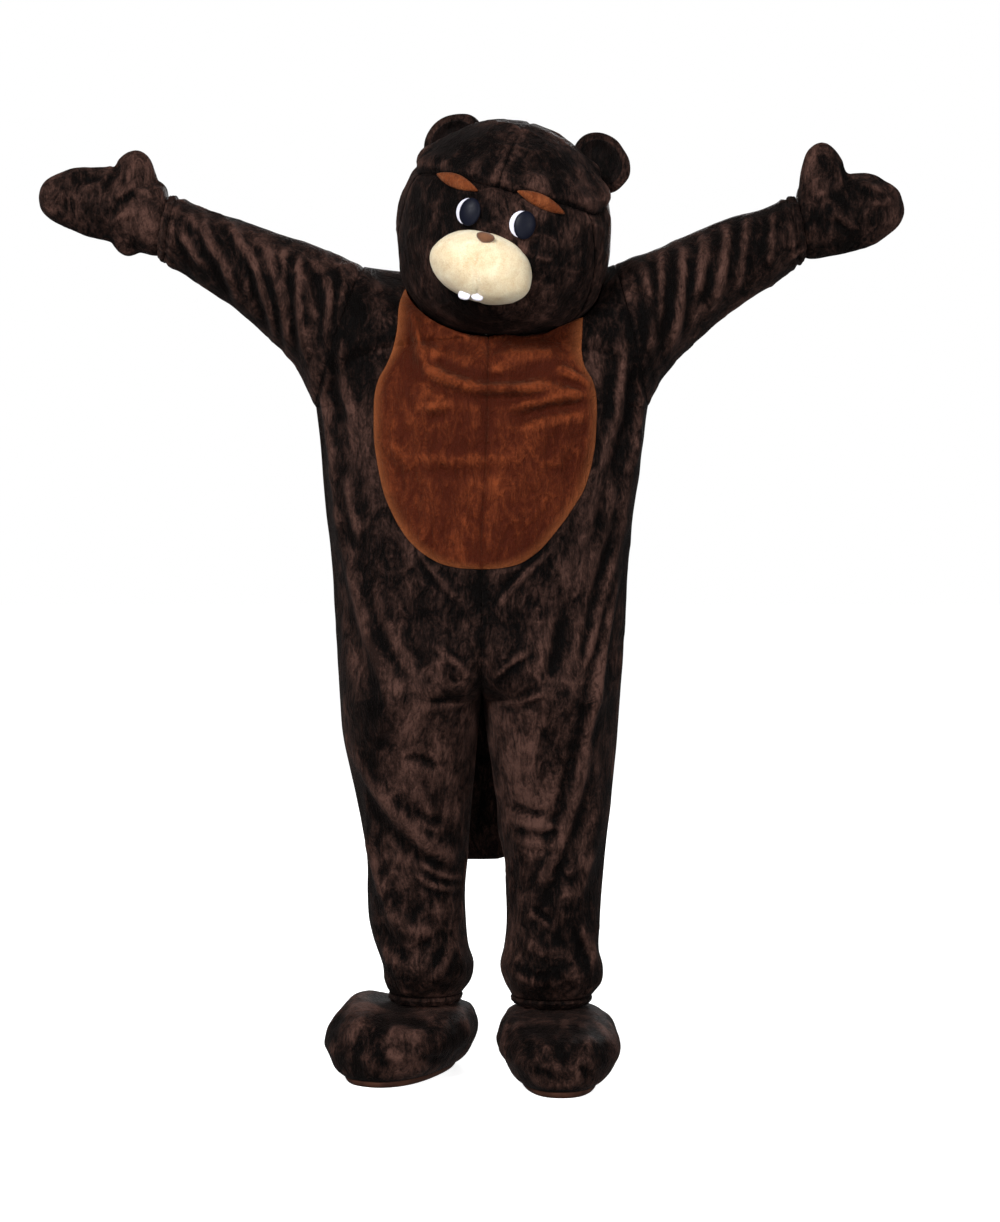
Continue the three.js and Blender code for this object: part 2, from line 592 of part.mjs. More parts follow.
function buildAnkleHems() {
  for (const [name, side, drawnIn] of [['left', LEFT, 2.8], ['right', RIGHT, 6]]) {
    const { centre, half, depth, back } = section(side, BOTTOM_LEVEL);
    const ring = (round) => vector(
      side * centre + half * Math.sin(2 * Math.PI * round),
      back - depth * Math.cos(2 * Math.PI * round),
      BOTTOM_LEVEL,
    );
    add(`ankle_hem_${name}`, gatheredHem(ring, vector(0, 0, -1), ANKLE_HEM, drawnIn), PLUSH_BROWN);
  }
}

// ---------------------------------------------------------------- mittens
const MITTEN_LEFT = [
  { topX: -562, topZ: 1612, bottomX: -576, bottomZ: 1530, depth: 43 },
  { topX: -588, topZ: 1621, bottomX: -603, bottomZ: 1531, depth: 44 },
  { topX: -599, topZ: 1657, bottomX: -617, bottomZ: 1524, depth: 49 },
  { topX: -644, topZ: 1668, bottomX: -652, bottomZ: 1533, depth: 46 },
  { topX: -689, topZ: 1685, bottomX: -693, bottomZ: 1548, depth: 44 },
  { topX: -732, topZ: 1688, bottomX: -736, bottomZ: 1558, depth: 41 },
  { topX: -770, topZ: 1684, bottomX: -776, bottomZ: 1573, depth: 37 },
  { topX: -802, topZ: 1672, bottomX: -808, bottomZ: 1587, depth: 31 },
  { topX: -824, topZ: 1655, bottomX: -826, bottomZ: 1605, depth: 20 },
  { topX: -832, topZ: 1637, bottomX: -833, bottomZ: 1625, depth: 6 },
];
const MITTEN_RIGHT = [
  { topX: 551, topZ: 1607, bottomX: 565, bottomZ: 1525, depth: 43 },
  { topX: 578, topZ: 1618, bottomX: 592, bottomZ: 1529, depth: 45 },
  { topX: 589, topZ: 1655, bottomX: 606, bottomZ: 1519, depth: 49 },
  { topX: 638, topZ: 1655, bottomX: 644, bottomZ: 1523, depth: 46 },
  { topX: 681, topZ: 1676, bottomX: 685, bottomZ: 1531, depth: 44 },
  { topX: 719, topZ: 1676, bottomX: 721, bottomZ: 1540, depth: 40 },
  { topX: 749, topZ: 1663, bottomX: 750, bottomZ: 1560, depth: 34 },
  { topX: 772, topZ: 1645, bottomX: 772, bottomZ: 1583, depth: 25 },
  { topX: 785, topZ: 1620, bottomX: 785, bottomZ: 1604, depth: 7 },
];
const THUMB = { halfWidth: 50, halfDepth: 36, halfLength: 100 };
const THUMB_LEFT = { x: -660, z: 1621 };
const THUMB_RIGHT = { x: 636, z: 1634 };
const MITTEN_MOUTH = 14;       // how far the hollow is cut past the cuff so that it is open

function ringPoints({ topX, topZ, bottomX, bottomZ, depth }, inset, columns) {
  const centre = vector((topX + bottomX) / 2, 0, (topZ + bottomZ) / 2);
  const up = vector((topX - bottomX) / 2, 0, (topZ - bottomZ) / 2);
  const share = (up.length() - inset) / up.length();
  return Array.from({ length: columns }, (_, i) => {
    const angle = (2 * Math.PI * i) / columns;
    return centre.clone().addScaledVector(up, share * Math.cos(angle))
      .add(vector(0, -(depth - inset) * Math.sin(angle), 0));
  });
}

function thumbForm(place, inset) {
  const form = new THREE.SphereGeometry(1, 14, 7);
  form.scale(THUMB.halfWidth - inset, THUMB.halfDepth - inset, THUMB.halfLength - inset);
  form.translate(place.x, 0, place.z);
  return toManifold(form);
}

// A mitten's hollow: the same rings drawn in by the wall, cut on past the cuff.
function mittenHollow(table) {
  const [cuff, next] = table;
  const back = vector(cuff.topX - next.topX, 0, cuff.topZ - next.topZ).normalize().multiplyScalar(MITTEN_MOUTH);
  const mouth = {
    topX: cuff.topX + back.x, topZ: cuff.topZ + back.z,
    bottomX: cuff.bottomX + back.x, bottomZ: cuff.bottomZ + back.z, depth: cuff.depth,
  };
  const kept = table.slice(0, -1).map((row, i) => (i === table.length - 2 ? { ...row, depth: row.depth - 2 } : row));
  return toManifold(loft([mouth, ...kept].map((row) => ringPoints(row, PLUSH, 12))));
}

function buildMittens() {
  for (const [name, table, place] of [['left', MITTEN_LEFT, THUMB_LEFT], ['right', MITTEN_RIGHT, THUMB_RIGHT]]) {
    const outside = toManifold(loft(table.map((row) => ringPoints(row, 0, 12)))).add(thumbForm(place, 0));
    const hollow = mittenHollow(table).add(thumbForm(place, PLUSH));
    const shell = outside.subtract(hollow);
    add(`mitten_palm_${name}`, toGeometry(shell.trimByPlane([0, -1, 0], SEAM / 2)), PLUSH_BROWN);
    add(`mitten_back_${name}`, toGeometry(shell.trimByPlane([0, 1, 0], SEAM / 2)), PLUSH_BROWN);
  }
}

// ---------------------------------------------------------------- feet
// Foot covers as level rings about the ankle: how far the ring's middle lies ahead of it, half
// its length and width, and how much of the foot's own shift and stretch it takes.
const FOOT = [
  { height: 27.3, ahead: 60, long: 148, wide: 70, own: 1 },
  { height: 40, ahead: 60, long: 160, wide: 91, own: 1 },
  { height: 58, ahead: 60, long: 167, wide: 107, own: 1 },
  { height: 78, ahead: 55, long: 162, wide: 110, own: 1 },
  { height: 98, ahead: 46, long: 150, wide: 104, own: 1 },
  { height: 112, ahead: 30, long: 126, wide: 94, own: 0.8 },
  { height: 119, ahead: 14, long: 96, wide: 80, own: 0.5 },
  { height: 123, ahead: 0, long: 57, wide: 56, own: 0 },
  { height: 156, ahead: 0, long: 55, wide: 54, own: 0 },
];
const ANKLES = [
  { name: 'left', x: -112, y: -6, turn: -27, further: 0, longer: 1, out: -15, broader: 1.14 },
  { name: 'right', x: 124.5, y: -34, turn: 1.5, further: 20, longer: 1.08, out: 8, broader: 1.02 },
];

// A point of a foot's ring. The toes are blunter than the heel.
function footPoint(ring, ankle, round, inset = 0) {
  const angle = 2 * Math.PI * round;
  const blunt = (value, power) => Math.sign(value) * Math.abs(value) ** power;
  const long = ring.long * (1 + (ankle.longer - 1) * ring.own) - inset;
  const wide = ring.wide * (1 + (ankle.broader - 1) * ring.own) - inset;
  const ahead = ring.ahead + ankle.further * ring.own + long * blunt(Math.cos(angle), 0.86);
  const aside = ankle.out * ring.own + wide * blunt(Math.sin(angle), 0.86) * (1 + 0.08 * Math.cos(angle));
  const turn = rad(ankle.turn);
  return vector(
    ankle.x + ahead * Math.sin(turn) + aside * Math.cos(turn),
    ankle.y - ahead * Math.cos(turn) + aside * Math.sin(turn),
    ring.height,
  );
}

function buildFeet() {
  const rounds = Array.from({ length: 16 }, (_, i) => i / 16);
  for (const ankle of ANKLES) {
    const outer = (round, at) => footPoint(FOOT[at], ankle, round);
    const inner = (round, at) => footPoint(FOOT[at], ankle, round, FOOT_WALL);
    const rows = FOOT.map((_, i) => i);
    add(`foot_cover_${ankle.name}`, wallBetween(outer, inner, rounds, rows, true), PLUSH_BROWN);
    const soleRings = [
      { ...FOOT[0], height: 0, long: FOOT[0].long - 6, wide: FOOT[0].wide - 5 },
      { ...FOOT[0], height: 8 },
      { ...FOOT[0], height: SOLE_THICK },
    ];
    const sole = loft(soleRings.map((ring) => rounds.map((round) => footPoint(ring, ankle, round))));
    add(`foot_sole_${ankle.name}`, sole, SOLE_BROWN);
  }
}

// ---------------------------------------------------------------- tail
const TAIL_X = -16;
const TAIL = [
  { height: 364, y: 206, wide: 40, thick: 8 },
  { height: 374, y: 206, wide: 72, thick: 13 },
  { height: 404, y: 206, wide: 98, thick: 17 },
  { height: 450, y: 206, wide: 113, thick: 19 },
  { height: 530, y: 206, wide: 117, thick: 20 },
  { height: 610, y: 206, wide: 111, thick: 20 },
  { height: 690, y: 206, wide: 95, thick: 20 },
  { height: 760, y: 203, wide: 76, thick: 19 },
  { height: 820, y: 196, wide: 60, thick: 17 },
  { height: 860, y: 183.7, wide: 50, thick: 14 },
];

function buildTail() {
  const rings = TAIL.map(({ height, y, wide, thick }) => Array.from({ length: 12 }, (_, i) => {
    const angle = (2 * Math.PI * i) / 12;
    return vector(TAIL_X + wide * Math.cos(angle), y + thick * Math.sin(angle), height);
  }));
  add('tail', loft(rings), PLUSH_BROWN);
}

// ---------------------------------------------------------------- centre back zip
const ZIP_WIDTH = 22;
const ZIP_THICK = 1.5;
const ZIP_BOTTOM = 905;
const ZIP_TOP = 1470;
const ZIP_MIDDLE = { bottom: -5.7, top: 0 };   // x of the middle seam at the zip's ends
const SLIDER_LEVEL = 1378;
const SLIDER = { width: 12, length: 17, plate: 2.4, bridge: 2.4, reach: 4.4, wall: 1.2, sunk: 0.2 };
const TAB = { width: 7.5, length: 30, thick: 1.6, window: 4.4, windowLength: 5.4 };
const PIN_RISE = 3.9;          // pin axis above the slider's underside

const backSeam = (level) => bodyPoint(RIGHT, BACK, 0, level);

function buildZip() {
  for (const [name, side] of [['left', LEFT], ['right', RIGHT]]) {
    const levels = BACK_LEVELS.filter((level) => level >= 890 && level <= 1405);
    const outline = new THREE.Shape();
    outline.moveTo(-ZIP_WIDTH / 2 + ZIP_MIDDLE.bottom, ZIP_BOTTOM);
    outline.lineTo(ZIP_WIDTH / 2 + ZIP_MIDDLE.bottom, ZIP_BOTTOM);
    outline.lineTo(ZIP_WIDTH / 2 + ZIP_MIDDLE.top, ZIP_TOP);
    outline.lineTo(-ZIP_WIDTH / 2 + ZIP_MIDDLE.top, ZIP_TOP);
    const tape = layer(side, BACK, BACK_COLUMNS.slice(0, 2), levels, ZIP_THICK, outline);
    add(`zip_tape_${name}`, toGeometry(tape), ZIP_BROWN);
  }

  const below = backSeam(SLIDER_LEVEL - 12);
  const middle = backSeam(SLIDER_LEVEL);
  const above = backSeam(SLIDER_LEVEL + 12);
  const slope = Math.atan2(below.y - above.y, above.z - below.z);
  const seat = new THREE.Group();
  seat.position.copy(middle);
  seat.rotation.x = slope;
  seat.translateY(2 * SEAM + ZIP_THICK);
  suit.add(seat);

  // The slider: a shield-shaped plate with a strap bridging its middle.
  const half = SLIDER.width / 2;
  const shield = new THREE.Shape();
  shield.moveTo(-half, SLIDER.length / 2 - 3);
  shield.quadraticCurveTo(-half, SLIDER.length / 2, -half + 3, SLIDER.length / 2);
  shield.lineTo(half - 3, SLIDER.length / 2);
  shield.quadraticCurveTo(half, SLIDER.length / 2, half, SLIDER.length / 2 - 3);
  shield.lineTo(half - 3, -SLIDER.length / 2);
  shield.lineTo(-half + 3, -SLIDER.length / 2);
  const plate = new THREE.ExtrudeGeometry(shield, { depth: SLIDER.plate, bevelEnabled: false, curveSegments: 4 });
  plate.rotateX(Math.PI / 2);
  plate.translate(0, SLIDER.plate, 0);
  const arch = new THREE.Shape();
  arch.absarc(0, 0, SLIDER.reach, 0, Math.PI, false);
  arch.lineTo(-SLIDER.reach, SLIDER.plate - PIN_RISE - SLIDER.sunk);
  arch.lineTo(-SLIDER.reach + SLIDER.wall, SLIDER.plate - PIN_RISE - SLIDER.sunk);
  arch.absarc(0, 0, SLIDER.reach - SLIDER.wall, Math.PI, 0, true);
  arch.lineTo(SLIDER.reach - SLIDER.wall, SLIDER.plate - PIN_RISE - SLIDER.sunk);
  arch.lineTo(SLIDER.reach, SLIDER.plate - PIN_RISE - SLIDER.sunk);
  const strap = new THREE.ExtrudeGeometry(arch, { depth: SLIDER.bridge, bevelEnabled: false, curveSegments: 8 });
  strap.translate(0, 0, -SLIDER.bridge / 2);
  strap.rotateY(Math.PI / 2);
  strap.translate(0, PIN_RISE, 0);
  const slider = new THREE.Mesh(toGeometry(toManifold(plate).add(toManifold(strap))), ZIP_METAL);
  slider.name = 'zip_slider';
  seat.add(slider);

  // The pull tab hangs from a bar under the strap, its window round the strap.
  const outline = new THREE.Shape();
  const tabHalf = TAB.width / 2;
  outline.moveTo(-tabHalf, TAB.thick / 2);
  outline.lineTo(-tabHalf, -TAB.length + tabHalf);
  outline.absarc(0, -TAB.length + tabHalf, tabHalf, Math.PI, 2 * Math.PI, false);
  outline.lineTo(tabHalf, TAB.thick / 2);
  const hole = new THREE.Path();
  hole.moveTo(-TAB.window / 2, -TAB.thick / 2);
  hole.lineTo(TAB.window / 2, -TAB.thick / 2);
  hole.lineTo(TAB.window / 2, -TAB.windowLength);
  hole.lineTo(-TAB.window / 2, -TAB.windowLength);
  outline.holes.push(hole);
  const tab = new THREE.ExtrudeGeometry(outline, { depth: TAB.thick, bevelEnabled: false, curveSegments: 8 });
  tab.rotateX(Math.PI / 2);
  tab.translate(0, TAB.thick / 2, 0);
  const pull = new THREE.Mesh(tab, ZIP_METAL);
  pull.name = 'zip_pull_tab';
  pull.position.y = PIN_RISE;
  seat.add(pull);
}

// ---------------------------------------------------------------- head shell
const BROW_SEAM = 137;         // degrees from the neck's axis to the seam over the brows
const FACE_SIDE = 68;          // degrees round the neck's axis to the face's side seams
const CROWN_SPLIT = 0.0009;    // half the crown's middle seam, as a share of the head's radius

// Edge of the head's neck opening, in degrees from the neck's axis.
const openingAt = (round) => 38 - 6 * Math.cos(rad(round)) - 4 * Math.cos(rad(2 * round));

function headPanel(name, rounds, aparts, lowest) {
  const direction = (u, v) => {
    const low = lowest ?? openingAt(u);
    return leaned(neckDirection(u, lerp(low, aparts[1], v)));
  };
  const outer = (u, v) => headPoint(direction(u, v));
  const inner = (u, v) => headPoint(direction(u, v), -HEAD_WALL);
  const stations = evenly(0, 1, aparts[0]);
  add(name, wallBetween(outer, inner, rounds, stations), PLUSH_BROWN);
}

function buildHead() {
  const gap = 0.12;            // degrees, half a seam
  headPanel('head_face', evenly(-FACE_SIDE + gap, FACE_SIDE - gap, 12), [8, BROW_SEAM - gap]);
  headPanel('head_back', evenly(FACE_SIDE + gap, 360 - FACE_SIDE - gap, 16), [8, BROW_SEAM - gap]);
  // The crown's halves part along the middle, so their edge swings aside near the top.
  for (const [name, side] of [['left', LEFT], ['right', RIGHT]]) {
    const direction = (u, v) => {
      const apart = lerp(BROW_SEAM + 2 * gap, 179.3, v);
      const clear = THREE.MathUtils.radToDeg(Math.asin(CROWN_SPLIT / Math.sin(rad(apart))));
      return leaned(neckDirection(side * lerp(clear, 180 - clear, u), apart));
    };
    const wall = wallBetween(
      (u, v) => headPoint(direction(u, v)),
      (u, v) => headPoint(direction(u, v), -HEAD_WALL),
      evenly(0, 1, 10),
      evenly(0, 1, 4),
    );
    add(`head_crown_${name}`, wall, PLUSH_BROWN);
  }
}

// ---------------------------------------------------------------- face and ears
// The head's own directions: right, back and up, leaned and turned.
const HEAD_RIGHT = leaned(vector(1, 0, 0));
const HEAD_BACK = leaned(vector(0, 1, 0));
const HEAD_UP = leaned(vector(0, 0, 1));

// Direction of a place on the face, degrees aside and up from straight ahead.
function faceDirection(aside, up) {
  return leaned(vector(
    Math.sin(rad(aside)) * Math.cos(rad(up)),
    -Math.cos(rad(aside)) * Math.cos(rad(up)),
    Math.sin(rad(up)),
  ));
}

// The head's whole form as a closed solid, lift outside it, for fitting what sits on it.
function headForm(lift) {
  const columns = 28;
  const rings = evenly(8, 172, 16).map((apart) => Array.from({ length: columns }, (_, i) => (
    headPoint(leaned(neckDirection((i * 360) / columns, apart)), lift)
  )));
  return toManifold(loft(rings));
}
const HEAD_CLEAR = headForm(SEAM + 1.6);

// A ball stretched to three half sizes along the head's directions, turned about its back axis.
function headBall(centre, halfWidth, halfDepth, halfHeight, turn = 0, fine = 14) {
  const ball = new THREE.SphereGeometry(1, fine, Math.round(fine * 0.6));
  ball.scale(halfWidth, halfDepth, halfHeight);
  ball.rotateY(rad(turn));
  ball.applyMatrix4(new THREE.Matrix4().makeBasis(HEAD_RIGHT, HEAD_BACK, HEAD_UP));
  ball.translate(centre.x, centre.y, centre.z);
  return toManifold(ball);
}

// A thin pad lying on the head about a place on the face: an oval or, pointed, a leaf.
function facePad(name, place, size, finish) {
  const middle = faceDirection(place.aside, place.up);
  const right = HEAD_RIGHT.clone().addScaledVector(middle, -HEAD_RIGHT.dot(middle)).normalize();
  const up = middle.clone().cross(right).multiplyScalar(middle.clone().cross(right).dot(HEAD_UP) < 0 ? -1 : 1);
  const columns = 14;
  const ring = (share, lift) => Array.from({ length: columns }, (_, i) => {
    const angle = (2 * Math.PI * i) / columns;
    const wide = size.wide * share * Math.cos(angle);
    const taper = 1 - (size.pointed ?? 0) * Math.cos(angle) ** 2;
    const tall = size.tall * share * Math.sin(angle) * taper;
    const turned = rad(size.turn ?? 0);
    const direction = middle.clone()
      .addScaledVector(right, (wide * Math.cos(turned) - tall * Math.sin(turned)) / HEAD.halfWidth)
      .addScaledVector(up, (wide * Math.sin(turned) + tall * Math.cos(turned)) / HEAD.halfWidth);
    return headPoint(direction.normalize(), lift);
  });
  const rings = [
    ring(0.45, size.low), ring(1, size.low), ring(1, size.low + size.edge),
    ring(0.72, size.low + size.edge + size.crown * 0.7), ring(0.3, size.low + size.edge + size.crown),
  ];
  return add(name, loft(rings), finish);
}

const MUZZLE = { up: -28, halfWidth: 93, halfDepth: 60, halfHeight: 62, sink: 8 };
const NOSE = { up: 52, ahead: 42, halfWidth: 15, halfDepth: 11, halfHeight: 9 };
const TOOTH = { aside: 11.6, up: -62, ahead: 30, wide: 22, deep: 9, tall: 19 };
const EYES = { aside: 15, up: 1, whiteAside: -1.2, whiteUp: 1.2 };
const BROWS = { aside: 25, up: 15 };
const EAR = { behind: 66, halfWidth: 60, halfDepth: 15, halfHeight: 50 };
const EARS = [
  { name: 'left', side: LEFT, aside: 45, reach: 209 },
  { name: 'right', side: RIGHT, aside: 39.5, reach: 223 },
];

function buildMuzzle() {
  const middle = headPoint(faceDirection(0, MUZZLE.up), -MUZZLE.sink);
  const at = (aside, ahead, up) => middle.clone()
    .addScaledVector(HEAD_RIGHT, aside).addScaledVector(HEAD_BACK, -ahead).addScaledVector(HEAD_UP, up);
  const { halfWidth, halfDepth, halfHeight } = MUZZLE;
  const form = (lift) => headBall(middle, halfWidth + lift, halfDepth + lift, halfHeight + lift, 0, 20);
  add('muzzle', toGeometry(form(0).subtract(HEAD_CLEAR)), MUZZLE_CREAM);
  const clear = form(0.8);
  const nose = headBall(at(0, NOSE.ahead, NOSE.up), NOSE.halfWidth, NOSE.halfDepth, NOSE.halfHeight, 0, 10);
  add('nose', toGeometry(nose.subtract(clear).subtract(HEAD_CLEAR)), NOSE_BROWN);
  for (const [name, side] of [['left', LEFT], ['right', RIGHT]]) {
    const shape = new THREE.Shape();
    const half = TOOTH.wide / 2;
    shape.moveTo(-half, TOOTH.tall / 2);
    shape.lineTo(-half * 0.9, -TOOTH.tall / 2 + 4);
    shape.quadraticCurveTo(-half * 0.85, -TOOTH.tall / 2, -half * 0.4, -TOOTH.tall / 2);
    shape.lineTo(half * 0.4, -TOOTH.tall / 2);
    shape.quadraticCurveTo(half * 0.85, -TOOTH.tall / 2, half * 0.9, -TOOTH.tall / 2 + 4);
    shape.lineTo(half, TOOTH.tall / 2);
    const tooth = new THREE.ExtrudeGeometry(shape, { depth: TOOTH.deep, bevelEnabled: false, curveSegments: 4 });
    tooth.translate(0, 0, -TOOTH.deep / 2);
    tooth.rotateX(Math.PI / 2);
    tooth.applyMatrix4(new THREE.Matrix4().makeBasis(HEAD_RIGHT, HEAD_BACK, HEAD_UP));
    const place = at(side * TOOTH.aside, TOOTH.ahead, TOOTH.up);
    tooth.translate(place.x, place.y, place.z);
    add(`tooth_${name}`, toGeometry(toManifold(tooth).subtract(clear).subtract(HEAD_CLEAR)), TOOTH_WHITE);
  }
}

function buildEyesAndBrows() {
  for (const [name, side] of [['left', LEFT], ['right', RIGHT]]) {
    const white = { wide: 24, tall: 28, low: 0.5, edge: 2, crown: 0.4 };
    const place = { aside: side * EYES.aside + EYES.whiteAside, up: EYES.up + EYES.whiteUp };
    facePad(`eye_white_${name}`, place, white, EYE_WHITE);
    const pupil = { wide: 20.5, tall: 25, low: 3.4, edge: 1, crown: 5 };
    facePad(`eye_pupil_${name}`, { aside: side * EYES.aside, up: EYES.up }, pupil, EYE_BLACK);
    const brow = { wide: 49, tall: 12, pointed: 0.55, low: 1, edge: 1, crown: 7, turn: side * -4 };
    facePad(`brow_${name}`, { aside: side * BROWS.aside, up: BROWS.up }, brow, BROW_RUST);
  }
}

function buildEars() {
  for (const { name, side, aside, reach } of EARS) {
    const radial = HEAD_UP.clone().multiplyScalar(Math.cos(rad(aside)))
      .addScaledVector(HEAD_RIGHT, side * Math.sin(rad(aside)));
    const centre = vector(HEAD.x, HEAD.y, HEAD.z).addScaledVector(HEAD_BACK, EAR.behind)
      .addScaledVector(radial, Math.sqrt(reach ** 2 - EAR.behind ** 2));
    const ball = (ahead, less, lessDeep) => headBall(
      centre.clone().addScaledVector(HEAD_BACK, -ahead),
      EAR.halfWidth - less,
      EAR.halfDepth - lessDeep,
      EAR.halfHeight - less,
      side * aside,
    );
    const ear = ball(0, 0, 0).subtract(ball(12, 12, 2)).subtract(HEAD_CLEAR);
    add(`ear_${name}`, toGeometry(ear), PLUSH_BROWN);
    const lining = ball(12, 12.5, 2.5).intersect(ball(-1, 2, 6)).subtract(HEAD_CLEAR);
    add(`ear_inner_${name}`, toGeometry(lining), INNER_EAR);
  }
}

buildBody();
buildPatch();
buildSleeves();
buildAnkleHems();
buildMittens();
buildFeet();
buildTail();
buildZip();
buildHead();
buildMuzzle();
buildEyesAndBrows();
buildEars();
suit.position.z = -SHOULDER_HEIGHT;

const root = new THREE.Group();
root.add(suit);
export default root;
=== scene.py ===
"""Dresses the frame of a plush beaver mascot costume: velvety plush panels with their folds,
belly patch, mittens, padded feet, stuffed tail, soft head and a back zip.

Shapes are worked out in millimetres above the floor and put into the frame, whose origin is
where the wearer's shoulders carry the suit. Left and right are the viewer's."""
import math

import bpy
import numpy as np
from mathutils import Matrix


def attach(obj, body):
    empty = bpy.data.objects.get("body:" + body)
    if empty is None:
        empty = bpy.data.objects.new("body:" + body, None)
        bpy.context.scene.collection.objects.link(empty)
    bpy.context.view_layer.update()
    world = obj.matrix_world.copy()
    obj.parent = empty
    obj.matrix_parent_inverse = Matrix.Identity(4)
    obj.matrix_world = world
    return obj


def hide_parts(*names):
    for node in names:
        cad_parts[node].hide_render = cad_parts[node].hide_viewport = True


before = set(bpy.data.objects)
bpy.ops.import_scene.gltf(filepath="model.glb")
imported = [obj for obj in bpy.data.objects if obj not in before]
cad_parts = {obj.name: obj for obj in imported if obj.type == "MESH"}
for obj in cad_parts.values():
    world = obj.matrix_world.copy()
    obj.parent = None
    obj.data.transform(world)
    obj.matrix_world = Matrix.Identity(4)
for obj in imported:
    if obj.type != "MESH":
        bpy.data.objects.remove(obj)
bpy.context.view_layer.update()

# ------------------------------------------------------------------ sizes, as in the solids
SHOULDER_HEIGHT = 1470
PLUSH = 3.0
SEAM = 0.3
HEAD_WALL = 10
UNDERARM = 1240
CROTCH = 697
CROTCH_RISE = 150
YOKE = 300
TOP_LEVEL = UNDERARM + YOKE
BOTTOM_LEVEL = 142
LEFT, RIGHT = -1, 1
FRONT, BACK = -1, 1
SIDES = {"left": LEFT, "right": RIGHT}
FACES = {"front": FRONT, "back": BACK}

# height, left side seam, left inside leg, right inside leg, right side seam, half depth,
# how far the section lies back on the left and on the right leg
BODY = np.array([
    (142, -180, -44, 50, 199, 70, -6, -34),
    (166, -190, -26, 36, 219, 88, -6, -34),
    (196, -194, -20, 27, 222, 98, -6, -34),
    (230, -206, -30, 34, 214, 94, -4, -30),
    (279, -220, -35, 39, 216, 96, 0, -26),
    (335, -223, -37, 38, 220, 99, 2, -20),
    (392, -224, -33, 36, 225, 104, 4, -14),
    (448, -232, -29, 25, 231, 110, 4, -8),
    (504, -243, -24, 22, 238, 119, 4, -4),
    (617, -267, -14, 4, 248, 141, 2, 0),
    (697, -274, -6, -5.4, 254, 160, 1, 1),
    (842, -282, -6, -5.4, 263, 170, 0, 0),
    (955, -289, -6, -5.4, 270, 170, 0, 0),
    (1068, -302, -3, -2.4, 281, 170, 0, 0),
    (1180, -311, 3, 3.6, 296, 168, 0, 0),
    (1240, -318, 5, 5.6, 305, 166, 0, 0),
], dtype=[(name, float) for name in (
    "height", "left", "left_in", "right_in", "right", "depth", "back", "back_right")])

# top and bottom of the armholes, and half their depth
ARMHOLES = {
    LEFT: {"top": (-225, 1503), "bottom": (-318, UNDERARM), "depth": 108},
    RIGHT: {"top": (240, 1507), "bottom": (305, UNDERARM), "depth": 108},
}

# rings of tubes: x and z of the ring's top, x and z of its bottom, half its depth
RING = [(name, float) for name in ("top_x", "top_z", "bottom_x", "bottom_z", "depth")]
SLEEVES = {
    LEFT: np.array([
        (-225.6, 1503, -318.6, 1240, 108), (-262, 1522, -334, 1272, 104),
        (-300, 1536, -350, 1305, 99), (-340, 1550, -383, 1350, 93),
        (-394, 1567, -430, 1393, 86), (-451, 1586, -482, 1432, 79),
        (-507, 1606, -535, 1468, 72), (-550, 1622, -577, 1496, 66),
        (-572, 1628, -596, 1512, 62),
    ], dtype=RING),
    RIGHT: np.array([
        (240.6, 1507, 305.6, 1240, 108), (268, 1519, 322, 1272, 104),
        (296, 1526, 338, 1300, 99), (347, 1548, 384, 1352, 92),
        (404, 1572, 437, 1402, 85), (460, 1594, 488, 1438, 78),
        (512, 1610, 540, 1470, 71), (545, 1624, 570, 1494, 66),
        (561, 1629, 586, 1507, 63),
    ], dtype=RING),
}
MITTENS = {
    LEFT: np.array([
        (-562, 1612, -576, 1530, 43), (-588, 1621, -603, 1531, 44),
        (-599, 1657, -617, 1524, 49), (-644, 1668, -652, 1533, 46),
        (-689, 1685, -693, 1548, 44), (-732, 1688, -736, 1558, 41),
        (-770, 1684, -776, 1573, 37), (-802, 1672, -808, 1587, 31),
        (-824, 1655, -826, 1605, 20), (-832, 1637, -833, 1625, 6),
    ], dtype=RING),
    RIGHT: np.array([
        (551, 1607, 565, 1525, 43), (578, 1618, 592, 1529, 45),
        (589, 1655, 606, 1519, 49), (638, 1655, 644, 1523, 46),
        (681, 1676, 685, 1531, 44), (719, 1676, 721, 1540, 40),
        (749, 1663, 750, 1560, 34), (772, 1645, 772, 1583, 25),
        (785, 1620, 785, 1604, 7),
    ], dtype=RING),
}
THUMB = {"half_width": 50, "half_depth": 36, "half_length": 100}
THUMBS = {LEFT: (-660, 1621), RIGHT: (636, 1634)}

# the head: its middle, half sizes, how square its jowls are, how it leans and turns, and the
# neck's axis; then where the suit's seams meet the neckline, in degrees round that axis
HEAD_CENTRE = np.array([36.0, -90.0, 1563.0])
HEAD_HALF = {"width": 196, "depth": 188, "height": 197}
JOWL = 2.6
HEAD_ROLL = math.radians(14)
HEAD_YAW = math.radians(7)
NECK_TILT = math.radians(25.7)
NECK_CLEAR = 5.3
NECK_ROUND = {FRONT: -14, BACK: 195.5, "shoulder": 115}
MIDDLE_SEAM_TOP = {FRONT: 0.32, BACK: 0.55}

# height, how far the ring lies ahead of the ankle, half length, half width, share of the
# foot's own amounts, which the next table has
FOOT = np.array([
    (27.3, 60, 148, 70, 1), (40, 60, 160, 91, 1), (58, 60, 167, 107, 1), (78, 55, 162, 110, 1),
    (98, 46, 150, 104, 1), (112, 30, 126, 94, 0.8), (119, 14, 96, 80, 0.5), (123, 0, 57, 56, 0),
    (156, 0, 55, 54, 0),
], dtype=[(name, float) for name in ("height", "ahead", "long", "wide", "own")])
